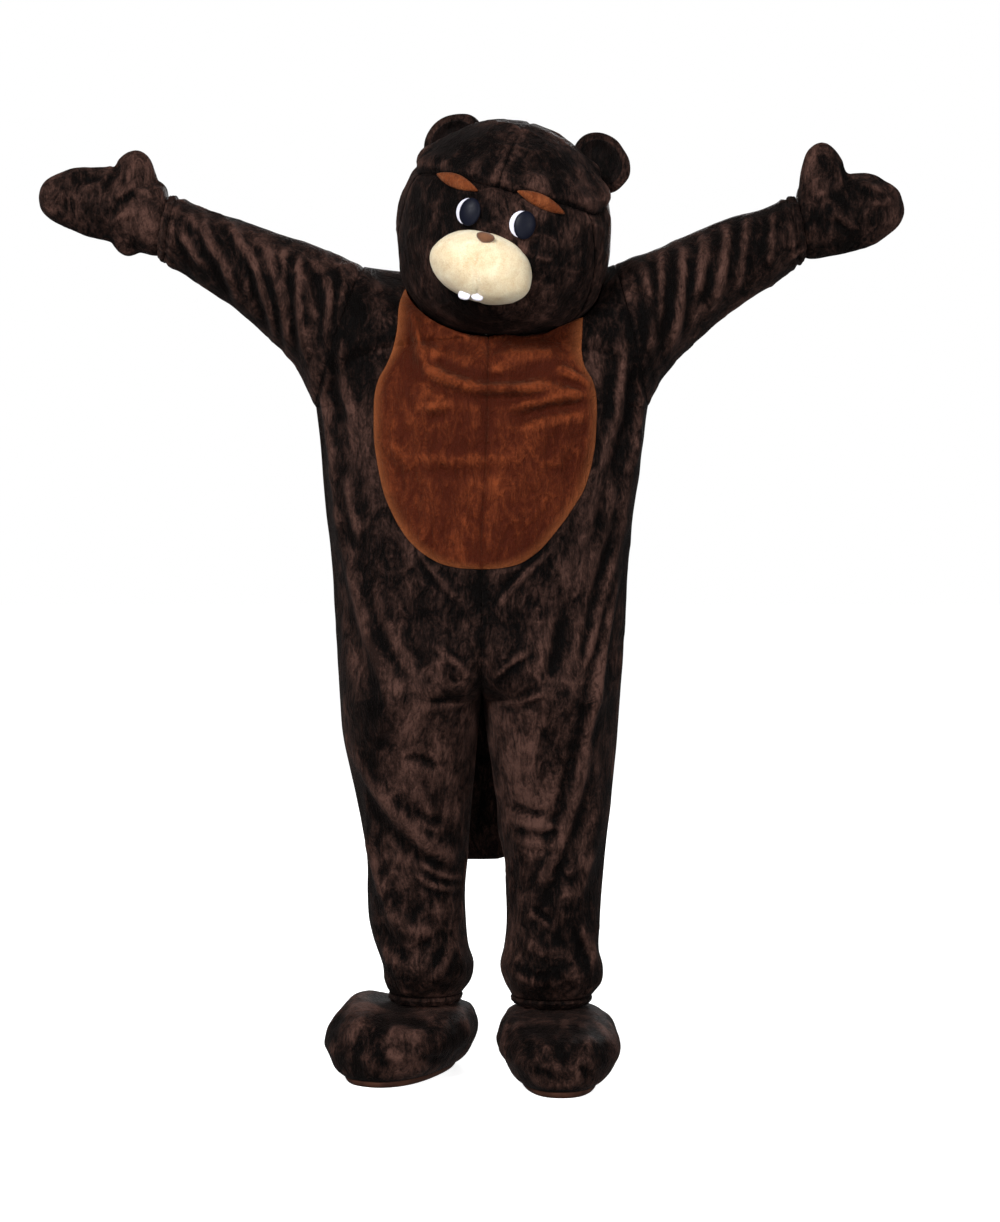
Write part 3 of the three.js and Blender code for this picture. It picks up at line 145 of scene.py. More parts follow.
# each ankle's middle and the degrees its foot points aside, then the foot's own amounts: how
# much further ahead, longer, further out and broader it is
ANKLES = {
    LEFT: {"x": -112, "y": -6, "turn": -27, "further": 0, "longer": 1.0, "out": -15, "broader": 1.14},
    RIGHT: {"x": 124.5, "y": -34, "turn": 1.5, "further": 20, "longer": 1.08, "out": 8, "broader": 1.02},
}

TAIL_X = -16
# height, how far back, half width, half thickness
TAIL = np.array([
    (364, 206, 40, 8), (374, 206, 72, 13), (404, 206, 98, 17), (450, 206, 113, 19),
    (530, 206, 117, 20), (610, 206, 111, 20), (690, 206, 95, 20), (760, 203, 76, 19),
    (820, 196, 60, 17), (860, 183.7, 50, 14),
], dtype=[(name, float) for name in ("height", "y", "wide", "thick")])


# ------------------------------------------------------------------ curves and fields
def clamp(value, low=0.0, high=1.0):
    """The value, or the limit that it lies past."""
    return np.clip(value, low, high)


def smooth(low, high, at):
    """0 below low, 1 above high, and 3t^2 - 2t^3 between."""
    t = clamp((at - low) / (high - low))
    return t * t * (3 - 2 * t)


def lerp(a, b, t):
    """The place a share t of the way from a to b: a + (b - a) t."""
    return a + (b - a) * t


def blunt(value, power):
    """The value's size to a power, with its sign kept."""
    return np.sign(value) * np.abs(value) ** power


def curve(places, values, at):
    """Cubic through the values, each end's slope taken from the rows on either side of it."""
    places = np.asarray(places, float)
    values = np.asarray(values, float)
    at = np.asarray(at, float)
    i = np.clip(np.searchsorted(places, at, side="left") - 1, 0, len(places) - 2)
    before = np.maximum(i - 1, 0)
    after = np.minimum(i + 2, len(places) - 1)
    span = places[i + 1] - places[i]
    t = (at - places[i]) / span
    low = (values[i + 1] - values[before]) / (places[i + 1] - places[before])
    high = (values[after] - values[i]) / (places[after] - places[i])
    t2, t3 = t * t, t * t * t
    return ((2 * t3 - 3 * t2 + 1) * values[i] + (t3 - 2 * t2 + t) * span * low
            + (3 * t2 - 2 * t3) * values[i + 1] + (t3 - t2) * span * high)


LATTICE = np.random.RandomState(7).rand(32, 32, 32) * 2 - 1


def lumps(points, size, shift=0.0):
    """Smooth random heights from -1 to 1: lattice values a size apart, eased between."""
    place = np.asarray(points) / size + shift
    cell = np.floor(place).astype(int)
    t = place - cell
    t = t * t * (3 - 2 * t)
    total = 0
    for dx in (0, 1):
        for dy in (0, 1):
            for dz in (0, 1):
                weight = (np.where(dx, t[..., 0], 1 - t[..., 0]) * np.where(dy, t[..., 1], 1 - t[..., 1])
                          * np.where(dz, t[..., 2], 1 - t[..., 2]))
                total = total + weight * LATTICE[(cell[..., 0] + dx) % 32, (cell[..., 1] + dy) % 32,
                                                 (cell[..., 2] + dz) % 32]
    return total


def crumple(points, size, shift=0.0):
    """Thin crooked ridges where smooth random heights cross nought: (1 - |height|)^7."""
    return (1 - np.abs(lumps(points, size, shift))) ** 7


# the folds' tables hold wide low folds: each is made narrower and taller by these
PINCH = {"narrow": 0.66, "tall": 1.5}


def fold_heights(folds, x, z):
    """Sum of soft ridges and troughs. Each runs from one place to another on a line bowed by
    bend, is height tall on it, falls off as exp(-(distance/width)^2), fades towards its ends,
    and has a shallower trough along its lower or left side, as pushed-up cloth has."""
    total = np.zeros(np.broadcast(x, z).shape)
    for x0, z0, x1, z1, width, height, bend in folds:
        width, height = width * PINCH["narrow"], height * PINCH["tall"]
        run = math.hypot(x1 - x0, z1 - z0)
        ux, uz = (x1 - x0) / run, (z1 - z0) / run
        t = ((x - x0) * ux + (z - z0) * uz) / run
        near = clamp(t)
        aside = (x - x0) * uz - (z - z0) * ux - bend * 4 * near * (1 - near)
        past = (t - near) * run
        away = np.hypot(aside, past) / width
        ends = smooth(-0.02, 0.3, near) * smooth(-0.02, 0.3, 1 - near)
        trough = 0.45 * np.exp(-((aside / width - 1.7) ** 2) - (past / width) ** 2)
        total += height * ends * (np.exp(-(away ** 2)) - trough)
    return total


# ------------------------------------------------------------------ meshes
def to_frame(points):
    """Millimetres above the floor into metres in the frame."""
    return (np.asarray(points, float) - (0, 0, SHOULDER_HEIGHT)) / 1000


def signed_volume(points, faces):
    """Six times the volume inside, below 0 where faces point in: the sum of a . (b x c)."""
    a, b, c = points[faces[:, 0]], points[faces[:, 1]], points[faces[:, 2]]
    return np.einsum("ij,ij->i", a, np.cross(b, c)).sum()


def placed(name, data):
    """A new object of the scene with this mesh, light or camera."""
    made = bpy.data.objects.new(name, data)
    bpy.context.collection.objects.link(made)
    return made


def smooth_mesh(name, points, faces, marks):
    """A smoothly shaded mesh from points in millimetres and lists of corners. marks are named
    numbers for each point that a material reads."""
    mesh = bpy.data.meshes.new(name)
    mesh.from_pydata(to_frame(points).tolist(), [], faces)
    for mark, values in marks.items():
        layer = mesh.attributes.new(mark, "FLOAT", "POINT")
        layer.data.foreach_set("value", np.asarray(values, np.float32).ravel())
    mesh.shade_smooth()
    return mesh


def finish_piece(made, stands_for, look):
    """Gives a mesh object its material, sets it on the costume's body and hides the parts of the
    solids that it stands for.
    """
    made.data.materials.append(look)
    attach(made, "costume")
    if stands_for:
        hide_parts(*stands_for)
    return made


def piece(name, points, faces, stands_for, look, marks=None):
    """A mesh piece from points in millimetres and faces that all have the same corner count.
    Faces are turned over together if they enclose a negative volume."""
    points = np.asarray(points, float).reshape(-1, 3)
    faces = np.asarray(faces, int)
    if signed_volume(points - points.mean(axis=0), faces[:, :3]) < 0:
        faces = faces[:, ::-1]
    made = placed(name, smooth_mesh(name, points, faces.tolist(), marks or {}))
    return finish_piece(made, stands_for, look)


def grid_faces(rows, columns, start=0, round_u=False, flip=False):
    """Four-cornered faces of a grid of points kept row by row."""
    across = columns if round_u else columns - 1
    j, i = np.meshgrid(np.arange(rows - 1), np.arange(across), indexing="ij")
    a = start + j * columns + i
    b = start + j * columns + (i + 1) % columns
    quads = np.stack([a, b, b + columns, a + columns], axis=-1).reshape(-1, 4)
    return quads[:, ::-1] if flip else quads


def ring_normals(points):
    """Unit normals of a round grid: its steps across crossed with its steps along."""
    wide = np.concatenate([points[:, -1:], points, points[:, :1]], axis=1)
    normal = np.cross(wide[:, 2:] - wide[:, :-2], np.gradient(points, axis=0))
    return normal / np.maximum(np.linalg.norm(normal, axis=2, keepdims=True), 1e-9)


def wall(outer, inner, round_u=False):
    """Points and faces of a closed cloth wall: the outer grid, the inner grid and rims that
    join their edges."""
    rows, columns = outer.shape[:2]
    points = np.concatenate([outer.reshape(-1, 3), inner.reshape(-1, 3)])
    half = rows * columns
    faces = [grid_faces(rows, columns, 0, round_u), grid_faces(rows, columns, half, round_u, True)]
    across = np.arange(columns if round_u else columns - 1)
    following = (across + 1) % columns
    last = (rows - 1) * columns
    faces.append(np.stack([across, across + half, following + half, following], axis=-1))
    faces.append(np.stack([last + across, last + following, last + half + following,
                           last + half + across], axis=-1))
    if not round_u:
        along = np.arange(rows - 1) * columns
        faces.append(np.stack([along, along + columns, along + half + columns, along + half], axis=-1))
        edge = along + columns - 1
        faces.append(np.stack([edge, edge + half, edge + half + columns, edge + columns], axis=-1))
    return points, np.concatenate(faces)


# how many times a grid of heights is averaged for its folds to be told from its form, and the
# height over that average, in millimetres, which counts as a sharp ridge
CREST = {"passes": 14, "sharp": 2.4}


def crest(heights, round_u=False):
    """How far each height of a grid stands over its neighbours' average, -1 in a fold's bottom
    and 1 on a sharp ridge: (the height - its many-times averaged self) / sharp."""
    level = heights
    for _ in range(CREST["passes"]):
        left, right = (level[:, -1:], level[:, :1]) if round_u else (level[:, :1], level[:, -1:])
        wide = np.concatenate([left, level, right], axis=1)
        tall = np.concatenate([level[:1], level, level[-1:]])
        level = (wide[:, :-2] + wide[:, 2:] + tall[:-2] + tall[2:]) / 4
    return clamp((heights - level) / CREST["sharp"], -1, 1)


def pile_lay(points, amount=0.55):
    """How the pile lies, patch by patch: above 0 brushed towards the light, below 0 away."""
    return lumps(points * (1, 1, 0.6), 50, 9.1) * amount + lumps(points, 22, 3.9) * amount * 0.8


def both(values):
    """A mark for each point of a wall's outer and inner side."""
    return np.concatenate([values.ravel(), values.ravel()])


def painted_light_mark(heights, lay_and_painted_light, round_u=False):
    """The mark that lightens or darkens a wall's pile: a painted highlight on its crests, painted
    shade in its hollows, and how the pile lies.
    """
    return {"crest": both(clamp(crest(heights, round_u) + lay_and_painted_light, -1, 1))}


def capped(outer):
    """Points and faces of a closed form: a round grid with a middle point at each end."""
    rows, columns = outer.shape[:2]
    points = np.concatenate([outer.reshape(-1, 3), outer[:1].mean(axis=1), outer[-1:].mean(axis=1)])
    across = np.arange(columns)
    following = (across + 1) % columns
    low, high = rows * columns, rows * columns + 1
    last = (rows - 1) * columns
    ends = [np.stack([following, across, np.full(columns, low)], axis=-1),
            np.stack([last + across, last + following, np.full(columns, high)], axis=-1)]
    return points, grid_faces(rows, columns, 0, True), np.concatenate(ends)


def closed_piece(name, outer, stands_for, look):
    """A closed round form as one piece, with its end fans."""
    points, quads, fans = capped(outer)
    faces = np.concatenate([quads[:, [0, 1, 2]], quads[:, [0, 2, 3]], fans])
    return piece(name, points, faces, stands_for, look)


# ------------------------------------------------------------------ the head's form
NECK_DOWN = np.array([0, math.sin(NECK_TILT), -math.cos(NECK_TILT)])
NECK_FRONT = np.array([0, -math.cos(NECK_TILT), -math.sin(NECK_TILT)])


def neck_direction(turn, apart):
    """Unit vectors apart degrees from the neck's axis and turn degrees round it from the
    front, positive to the right."""
    turn, apart = np.broadcast_arrays(np.radians(turn), np.radians(apart))
    side = np.zeros(turn.shape + (3,))
    side[..., 0] = np.sin(turn) * np.sin(apart)
    return (NECK_DOWN * np.cos(apart)[..., None] + side
            + NECK_FRONT * (np.cos(turn) * np.sin(apart))[..., None])


def leaned(direction):
    """The head's roll about the Y axis and turn about the Z axis, applied to directions."""
    x, y, z = np.moveaxis(np.asarray(direction, float), -1, 0)
    x, z = (x * math.cos(HEAD_ROLL) + z * math.sin(HEAD_ROLL),
            -x * math.sin(HEAD_ROLL) + z * math.cos(HEAD_ROLL))
    x, y = (x * math.cos(HEAD_YAW) + y * math.sin(HEAD_YAW),
            -x * math.sin(HEAD_YAW) + y * math.cos(HEAD_YAW))
    return np.stack([x, y, z], axis=-1)


def head_point(direction, lift=0.0):
    """The head's surface in a direction: (flat^p + tall^p)^(-1/p) with p = 2 above the middle
    and the jowl's power below it."""
    x, y, z = np.moveaxis(direction, -1, 0)
    power = np.where(z < 0, JOWL, 2.0)
    flat = np.hypot(x / (HEAD_HALF["width"] + lift), y / (HEAD_HALF["depth"] + lift))
    tall = np.abs(z) / (HEAD_HALF["height"] + lift)
    reach = (flat ** power + tall ** power) ** (-1 / power)
    return HEAD_CENTRE + direction * reach[..., None]


def neckline_point(turn):
    """The suit's edge under the head, low in front and high on the shoulders."""
    turn = np.asarray(turn, float)
    apart = 48.5 - 4 * np.cos(np.radians(turn)) - 10.5 * np.cos(np.radians(2 * turn))
    return head_point(neck_direction(turn, apart), NECK_CLEAR)


# ------------------------------------------------------------------ the suit's plain surface
def middle_line(level):
    """x of the middle seams above the crotch."""
    return lerp(-5.7, 5.3, smooth(955, UNDERARM, level))


def body_column(level, name):
    """One column of the body's table at a level."""
    return curve(BODY["height"], BODY[name], level)


def section(side, level):
    """Half an ellipse from the middle seam or inside leg to the side seam: its centre, half
    width, first angle, depth and how far back it lies."""
    below = side * body_column(level, "left_in" if side == LEFT else "right_in")
    inner = np.where(level < CROTCH, below, side * middle_line(level) + SEAM)
    outer = side * body_column(level, "left" if side == LEFT else "right")
    legs = clamp((CROTCH + CROTCH_RISE - level) / CROTCH_RISE) ** 1.3
    centre = lerp(inner, (inner + outer) / 2, legs)
    half = outer - centre
    start = np.arcsin(clamp((inner - centre) / half, -1, 1))
    back = body_column(level, "back" if side == LEFT else "back_right")
    return centre, half, start, body_column(level, "depth"), back


def inner_edge(side, face, share):
    """The middle seam above the underarm: leaning in to the neckline, then along it."""
    turn = math.copysign(0.15, side)
    start = NECK_ROUND[face] + (turn if face == FRONT else -turn)
    finish = side * NECK_ROUND["shoulder"] + (360 if side == LEFT and face == BACK else 0)
    seam_top = MIDDLE_SEAM_TOP[face]
    top = neckline_point(start)
    along = clamp(share / seam_top)
    low = middle_line(UNDERARM) + side * SEAM
    depth = body_column(UNDERARM, "depth")
    leaning = np.stack([lerp(low, top[0], along), lerp(face * depth, top[1], along * along),
                        lerp(UNDERARM, top[2], along)], axis=-1)
    collar = neckline_point(lerp(start, finish, clamp((share - seam_top) / (1 - seam_top))))
    return np.where((share >= seam_top)[..., None], collar, leaning)


def armhole_point(side, face, share):
    """Half an ellipse in the armhole's plane: bottom to top by (1 + sin)/2, depth by cos."""
    hole = ARMHOLES[side]
    turn = np.pi * (share - 0.5)
    rise = (1 + np.sin(turn)) / 2
    return np.stack([lerp(hole["bottom"][0], hole["top"][0], rise),
                     face * hole["depth"] * np.cos(turn),
                     lerp(hole["bottom"][1], hole["top"][1], rise)], axis=-1)


def body_point(side, face, u, level):
    """A panel's plain surface. Below the underarm an elliptical section at each level; above
    it rows from the middle seam and neckline to the armhole, rounded over like sin and 1 - cos."""
    u, level = np.broadcast_arrays(np.asarray(u, float), np.asarray(level, float))
    centre, half, start, depth, back = section(side, np.minimum(level, UNDERARM))
    turn = lerp(start, np.pi / 2, u)
    trunk = np.stack([side * (centre + half * np.sin(turn)),
                      back + face * (depth * np.cos(turn) + SEAM / 2), level], axis=-1)
    share = clamp((level - UNDERARM) / YOKE)
    inner, outer = inner_edge(side, face, share), armhole_point(side, face, share)
    end = lerp(np.pi / 2, math.radians(35), smooth(0, 0.35, share))
    sideways = np.sin(end * u) / np.sin(end)
    deep = (1 - np.cos(end * u)) / (1 - np.cos(end))
    seam_top = MIDDLE_SEAM_TOP[face]
    tall = lerp(deep, sideways, smooth(seam_top, seam_top + 0.3, share))
    yoke = np.stack([lerp(inner[..., 0], outer[..., 0], sideways),
                     lerp(inner[..., 1], outer[..., 1], deep) + face * SEAM / 2,
                     lerp(inner[..., 2], outer[..., 2], tall)], axis=-1)
    return np.where((level <= UNDERARM)[..., None], trunk, yoke)


def body_normal(side, face, u, level):
    """Outward unit normal of the plain surface from steps across and along it. Along the middle
    seams it keeps to the seam's plane, so that the two sides' folds meet there."""
    step = 1e-3
    across = body_point(side, face, u + step, level) - body_point(side, face, u - step, level)
    along = (body_point(side, face, u, np.minimum(level + 1, TOP_LEVEL))
             - body_point(side, face, u, np.maximum(level - 1, BOTTOM_LEVEL)))
    normal = np.cross(across, along) * (-side * face)
    seamed = smooth(CROTCH, CROTCH + 20, level) * smooth(UNDERARM + 90, UNDERARM + 60, level)
    normal[..., 0] *= 1 - smooth(0.04, 0, u) * seamed
    return normal / np.maximum(np.linalg.norm(normal, axis=-1, keepdims=True), 1e-9)


# ------------------------------------------------------------------ folds of the suit
# from x, z to x, z, width, height, bow: all in millimetres
FOLDS = {
    FRONT: [
        # the patch: a deep smile-shaped crease under the chin and softer ones below it
        (-140, 1420, -112, 1296, 15, 7, -6), (-118, 1310, -16, 1265, 14, 8, 7),
        (-46, 1267, 144, 1270, 14, 8, 5), (118, 1304, 200, 1266, 13, 7, -3),
        (-96, 1326, -6, 1286, 15, -6, 7), (-20, 1286, 112, 1291, 15, -6, 6),
        (-112, 1229, -62, 1240, 15, 5, 2), (34, 1226, 202, 1262, 15, 7, -5),
        (50, 1204, 190, 1236, 16, -4, -5), (-158, 1152, 92, 1150, 22, 3, 14),
        (-150, 1340, -70, 1330, 24, 5, 8), (20, 1316, 150, 1322, 22, 5, -6),
        (-170, 1180, -120, 1110, 22, 3, 4), (150, 1180, 120, 1120, 22, 3, -4),
        # side folds falling from the arms to the hips
        (-300, 1330, -262, 1120, 18, 7, 10), (-262, 1390, -226, 1180, 18, 6, 12),
        (-296, 1210, -262, 960, 20, 6, -8), (-250, 1130, -222, 980, 16, 5, 6),
        (286, 1330, 256, 1110, 18, 7, -10), (252, 1370, 226, 1160, 18, 6, -10),
        (284, 1200, 250, 960, 20, 6, 8), (236, 1120, 214, 960, 16, 5, -6),
        # hips and thighs
        (-264, 1018, -160, 676, 25, 8, 6), (-206, 930, -120, 742, 18, 3, 14),
        (-122, 975, -40, 876, 9, 3, 4), (128, 980, 20, 866, 9, 4, 5),
        (-150, 880, -96, 720, 20, -3, 8), (150, 890, 110, 720, 22, -4, -8),
        (254, 1018, 183, 738, 13, 7, 3), (254, 985, 184, 596, 14, 8, 3),
        (-26, 742, -100, 806, 9, 3, 5), (14, 738, 92, 796, 9, 3, -5),
        (-18, 704, -112, 688, 10, 3, -6), (16, 690, 124, 722, 10, 3, 6),
        (192, 664, 86, 320, 19, 8, -17), (222, 540, 119, 268, 38, 6, -7),
        # knees and shins
        (-254, 640, -34, 384, 25, 8, 30), (-246, 560, -206, 404, 17, 3, -10),
        (-222, 478, -172, 300, 18, 6, 8), (-150, 596, -80, 566, 12, -4, -8),
        (-132, 500, -62, 470, 12, -4, 7), (-124, 404, -38, 362, 10, 3, 8),
        (-130, 376, -46, 344, 9, 3, 7), (-196, 322, -84, 262, 24, 4, 12),
        (-208, 286, -128, 214, 20, -4, 6), (-60, 246, -100, 176, 13, 4, -5),
        (48, 504, 116, 492, 10, -6, 6), (44, 478, 148, 470, 12, 4, 8),
        (60, 440, 152, 432, 9, 2.5, 7), (196, 440, 160, 330, 16, 3, -8),
        (84, 318, 124, 292, 8, -5, 0), (70, 262, 168, 226, 24, 4, 9),
        (176, 300, 214, 190, 15, 4, 6), (52, 214, 122, 190, 14, -3, 5),
    ],
    BACK: [
        (-250, 1380, -60, 1330, 30, 6, -14), (60, 1330, 250, 1385, 30, 6, -14),
        (-222, 1296, -90, 1252, 26, 4, 12), (36, 1240, 190, 1300, 28, 5, 10),
        (-300, 1300, -262, 1090, 18, 7, -10), (286, 1300, 256, 1080, 18, 6, 12),
        (-250, 1180, -120, 1096, 30, 4, 18), (110, 1150, 240, 1226, 30, 5, 18),
        (-240, 1010, -110, 930, 26, -5, 20), (120, 930, 236, 1030, 28, -5, 14),
        (-262, 940, -150, 640, 22, 7, 14), (250, 936, 150, 622, 22, 7, -18),
        (-190, 900, -110, 720, 20, 4, 10), (176, 880, 96, 730, 20, 4, -8),
        (-224, 640, -84, 556, 24, 5, 14), (40, 540, 180, 606, 22, 5, 10),
        (-170, 500, -60, 470, 15, -5, -8), (70, 458, 206, 520, 18, -5, -10),
        (-216, 452, -96, 372, 20, 5, 14), (60, 384, 166, 404, 14, 4, 8),
        (-160, 320, -80, 306, 12, 4, -6), (84, 286, 206, 334, 20, 5, 10),
        (-190, 262, -90, 222, 18, 4, 8), (70, 226, 150, 242, 13, 4, 6),
    ],
}


def relief(face, u, level, points):
    """How far the suit's cloth stands out of its plain form: the named folds, broad and small
    random slack, and a shallow valley at each seam."""
    x, z = points[..., 0], points[..., 2]
    slack = lumps(points * (1, 1, 0.6), 74) * 4.5 + lumps(points * (1, 1, 0.8), 31, 5.3) * 1.8
    tired = smooth(-0.25, 0.5, lumps(points, 120, 8.8))
    creased = crumple(points * (1, 1, 0.5), 74, 1.9) * 3.4 + crumple(points, 33, 6.2) * 1.6
    slack = slack + creased * tired - 0.8
    fade = (smooth(0, 0.12, 1 - u) * smooth(0, 45, TOP_LEVEL - level)
            * smooth(0, 14, level - BOTTOM_LEVEL))
    inner = np.where(level > CROTCH - 10, smooth(0, 0.06, u), smooth(0, 0.12, u))
    sagging = (fold_heights(FOLDS[face], x, z) + slack * inner) * fade
    zipped = smooth(880, 906, level) * smooth(1440, 1412, level) if face == BACK else 0.0
    middle = -2.6 * np.exp(-((u / 0.03) ** 2)) * (1 - zipped)
    flank = -2.2 * np.exp(-(((1 - u) / 0.03) ** 2))
    return sagging + (middle + flank) * smooth(0, 30, TOP_LEVEL - level)


def panel_points(side, face, u, level, lift=0.0):
    """The panel's outer surface, lift outside it along the plain surface's normal."""
    plain = body_point(side, face, u, level)
    out = relief(face, u, level, plain) + lift
    return plain + body_normal(side, face, u, level) * out[..., None]


def inside_armhole(side, points):
    """Points pushed back to the suit's side of the armhole's plane."""
    hole = ARMHOLES[side]
    (top_x, top_z), (low_x, low_z) = hole["top"], hole["bottom"]
    out = np.array([side * (top_z - low_z), 0, side * (low_x - top_x)], float)
    out /= np.linalg.norm(out)
    over = np.maximum((points - (low_x, 0, low_z)) @ out, 0)
    return points - over[..., None] * out


# points across a panel, up to the underarm and from there up
PANEL_GRID = {FRONT: (92, 228, 84), BACK: (56, 144, 58)}


def make_panels(look):
    """The four body panels, each one cloth from the shoulder seam to the ankle."""
    for side_name, side in SIDES.items():
        for face_name, face in FACES.items():
            columns, low_rows, high_rows = PANEL_GRID[face]
            rows = np.concatenate([np.linspace(BOTTOM_LEVEL, UNDERARM, low_rows),
                                   np.linspace(UNDERARM, TOP_LEVEL, high_rows)[1:]])
            uu, levels = np.meshgrid(np.linspace(0, 1, columns), rows)
            plain = body_point(side, face, uu, levels)
            heights = relief(face, uu, levels, plain)
            normal = body_normal(side, face, uu, levels)
            outer = plain + normal * heights[..., None]
            inner = outer - normal * PLUSH
            above = levels[:, -1] > UNDERARM
            inner[above, -1] = inside_armhole(side, inner[above, -1])
            points, faces = wall(outer, inner)
            node = f"body_{face_name}_{side_name}"
            # the pile's lay, with painted shade darkening each panel towards its side seam from the hips
            # up, and on the front a painted highlight across each thigh
            lay_and_painted_light = pile_lay(outer) - 0.6 * smooth(0.5, 0.8, uu) * smooth(600, 760, levels)
            if face == FRONT:
                painted_thigh_highlight = np.exp(-(((uu - 0.4) / 0.3) ** 2))
                painted_thigh_highlight = painted_thigh_highlight * smooth(300, 520, levels) * smooth(840, 700, levels)
                lay_and_painted_light = lay_and_painted_light + 0.55 * painted_thigh_highlight
            made = piece(f"{node}_plush", points, faces, [node], look, painted_light_mark(heights, lay_and_painted_light))


# ------------------------------------------------------------------ belly patch
# the patch's outline: height, and x on the left and on the right
PATCH_EDGE = np.array([
    (940, -12, 0), (943, -50, 36), (952, -84, 68), (972, -116, 98), (1000, -143, 123),
    (1045, -170, 157), (1090, -187, 183), (1157, -199, 199), (1215, -201, 204),
    (1255, -200, 203), (1285, -193, 196), (1310, -180, 182), (1340, -168, 177),
    (1375, -160, 178), (1420, -157, 178), (1462, -150, 170),
], dtype=[(name, float) for name in ("z", "left", "right")])
# where the centre seam ends under the chin, how far the patch stands up at its edge, and how
# much more inside it
PATCH = {"seam_top": 1330, "edge": 1.2, "cushion": 4.6}


def panel_place(side, face, x, z):
    """Where on the panel a place seen from the front lies: Newton steps on u and level until
    the plain surface's x and z are those wanted."""
    level = np.array(z, float)
    u = clamp(np.abs(x) / 300)
    for _ in range(14):
        here = body_point(side, face, u, level)
        du = (body_point(side, face, u + 1e-3, level) - here) / 1e-3
        dl = (body_point(side, face, u, level + 0.5) - here) / 0.5
        miss_x, miss_z = x - here[..., 0], z - here[..., 2]
        size = du[..., 0] * dl[..., 2] - du[..., 2] * dl[..., 0]
        size = np.where(np.abs(size) < 1e-6, 1e-6, size)
        u = clamp(u + clamp((miss_x * dl[..., 2] - miss_z * dl[..., 0]) / size, -0.15, 0.15), 0, 0.97)
        level = clamp(level + clamp((miss_z * du[..., 0] - miss_x * du[..., 2]) / size, -40, 40),
                      BOTTOM_LEVEL, TOP_LEVEL - 2)
    return u, level


def patch_edge(side):
    """The patch's edge from the bottom of its centre seam to the horn where it meets the
    neckline, by length along it, and the panel level of that horn."""
    x = PATCH_EDGE["left" if side == LEFT else "right"]
    z = PATCH_EDGE["z"]
    levels = np.linspace(UNDERARM + 60, TOP_LEVEL, 600)
    rim = body_point(side, FRONT, 0.0, levels)
    outside = side * rim[:, 0] > side * curve(z, x, np.clip(rim[:, 2], z[0], z[-1]))
    tip = int(np.argmax(outside | (rim[:, 2] >= z[-1] - 4)))
    length = np.concatenate([[0], np.cumsum(np.hypot(np.diff(x), np.diff(z)))])
    reach = np.interp(rim[tip, 2], z, length)
    along = np.linspace(0, reach, 150)
    edge_x, edge_z = curve(length, x, along), curve(length, z, along)
    closing = smooth(reach - 30, reach, along)
    return lerp(edge_x, rim[tip, 0], closing), lerp(edge_z, rim[tip, 2], closing), levels[tip]


def make_patch(look):
    """Each half of the belly patch: the panel's own surface between its inner edge and the
    patch's outline, lifted by the cloth and rounded down at the edge and the centre seam."""
    for side_name, side in SIDES.items():
        edge_x, edge_z, tip = patch_edge(side)
        edge_u, edge_level = panel_place(side, FRONT, edge_x, edge_z)
        rows = len(edge_x)
        start_level = lerp(PATCH_EDGE["z"][0], tip, np.linspace(0, 1, rows))
        share = np.linspace(0, 1, 64)
        share = lerp(share, np.sin(share * np.pi / 2), 0.6)
        u = share[None] * edge_u[:, None]
        level = lerp(start_level[:, None], edge_level[:, None], share[None])
        plain = body_point(side, FRONT, u, level)
        width = np.hypot(edge_x - plain[:, 0, 0], edge_z - plain[:, 0, 2])[:, None]
        edge_gap = (1 - share[None]) * width
        bottom_gap = np.hypot(plain[..., 0] - edge_x[:, None], plain[..., 2] - edge_z[:, None])
        gap = np.minimum(edge_gap, bottom_gap)
        rounding = 1 - np.exp(-gap / 8)
        sewn = start_level < PATCH["seam_top"]
        seam = np.where(sewn[:, None], np.exp(-((share[None] * width / 5) ** 2)), 0)
        pile = lumps(plain, 9, 2.2) * 0.5 + lumps(plain, 22, 8.1) * 0.8
        lift = SEAM + PATCH["edge"] + PATCH["cushion"] * rounding + pile * rounding - 1.6 * seam
        outer = panel_points(side, FRONT, u, level, lift)
        inner = panel_points(side, FRONT, u, level, SEAM)
        outer[:, 0, 0] -= side * SEAM * sewn
        inner[:, 0, 0] -= side * SEAM * sewn
        points, faces = wall(outer, inner)
        # rim: a painted sheen highlight along the patch's edge; seam_line: the line of its centre seam
        marks = {"rim": both(np.exp(-gap / 12)), "seam_line": both(np.broadcast_to(seam, gap.shape)),
                 **painted_light_mark(relief(FRONT, u, level, plain), pile_lay(plain, 0.3))}
        node = f"belly_patch_{side_name}"
        made = piece(f"{node}_plush", points, faces, [node], look, marks)


# ------------------------------------------------------------------ tubes: sleeves and hems
def ring_at(rings, along):
    """A tube's ring part of the way along its table: centre, half height as a vector, depth."""
    places = np.linspace(0, 1, len(rings))
    top = np.stack([curve(places, rings["top_x"], along), np.zeros_like(along),
                    curve(places, rings["top_z"], along)], axis=-1)
    low = np.stack([curve(places, rings["bottom_x"], along), np.zeros_like(along),
                    curve(places, rings["bottom_z"], along)], axis=-1)
    return (top + low) / 2, (top - low) / 2, curve(places, rings["depth"], along)


def tube_point(rings, turn, along):
    """Round goes once about the tube from its top towards the front: centre + up cos - depth sin."""
    turn, along = np.broadcast_arrays(np.asarray(turn, float), np.asarray(along, float))
    centre, up, depth = ring_at(rings, along)
    angle = 2 * np.pi * turn
    flat = np.zeros(angle.shape + (3,))
    flat[..., 1] = -depth * np.sin(angle)
    return centre + up * np.cos(angle)[..., None] + flat


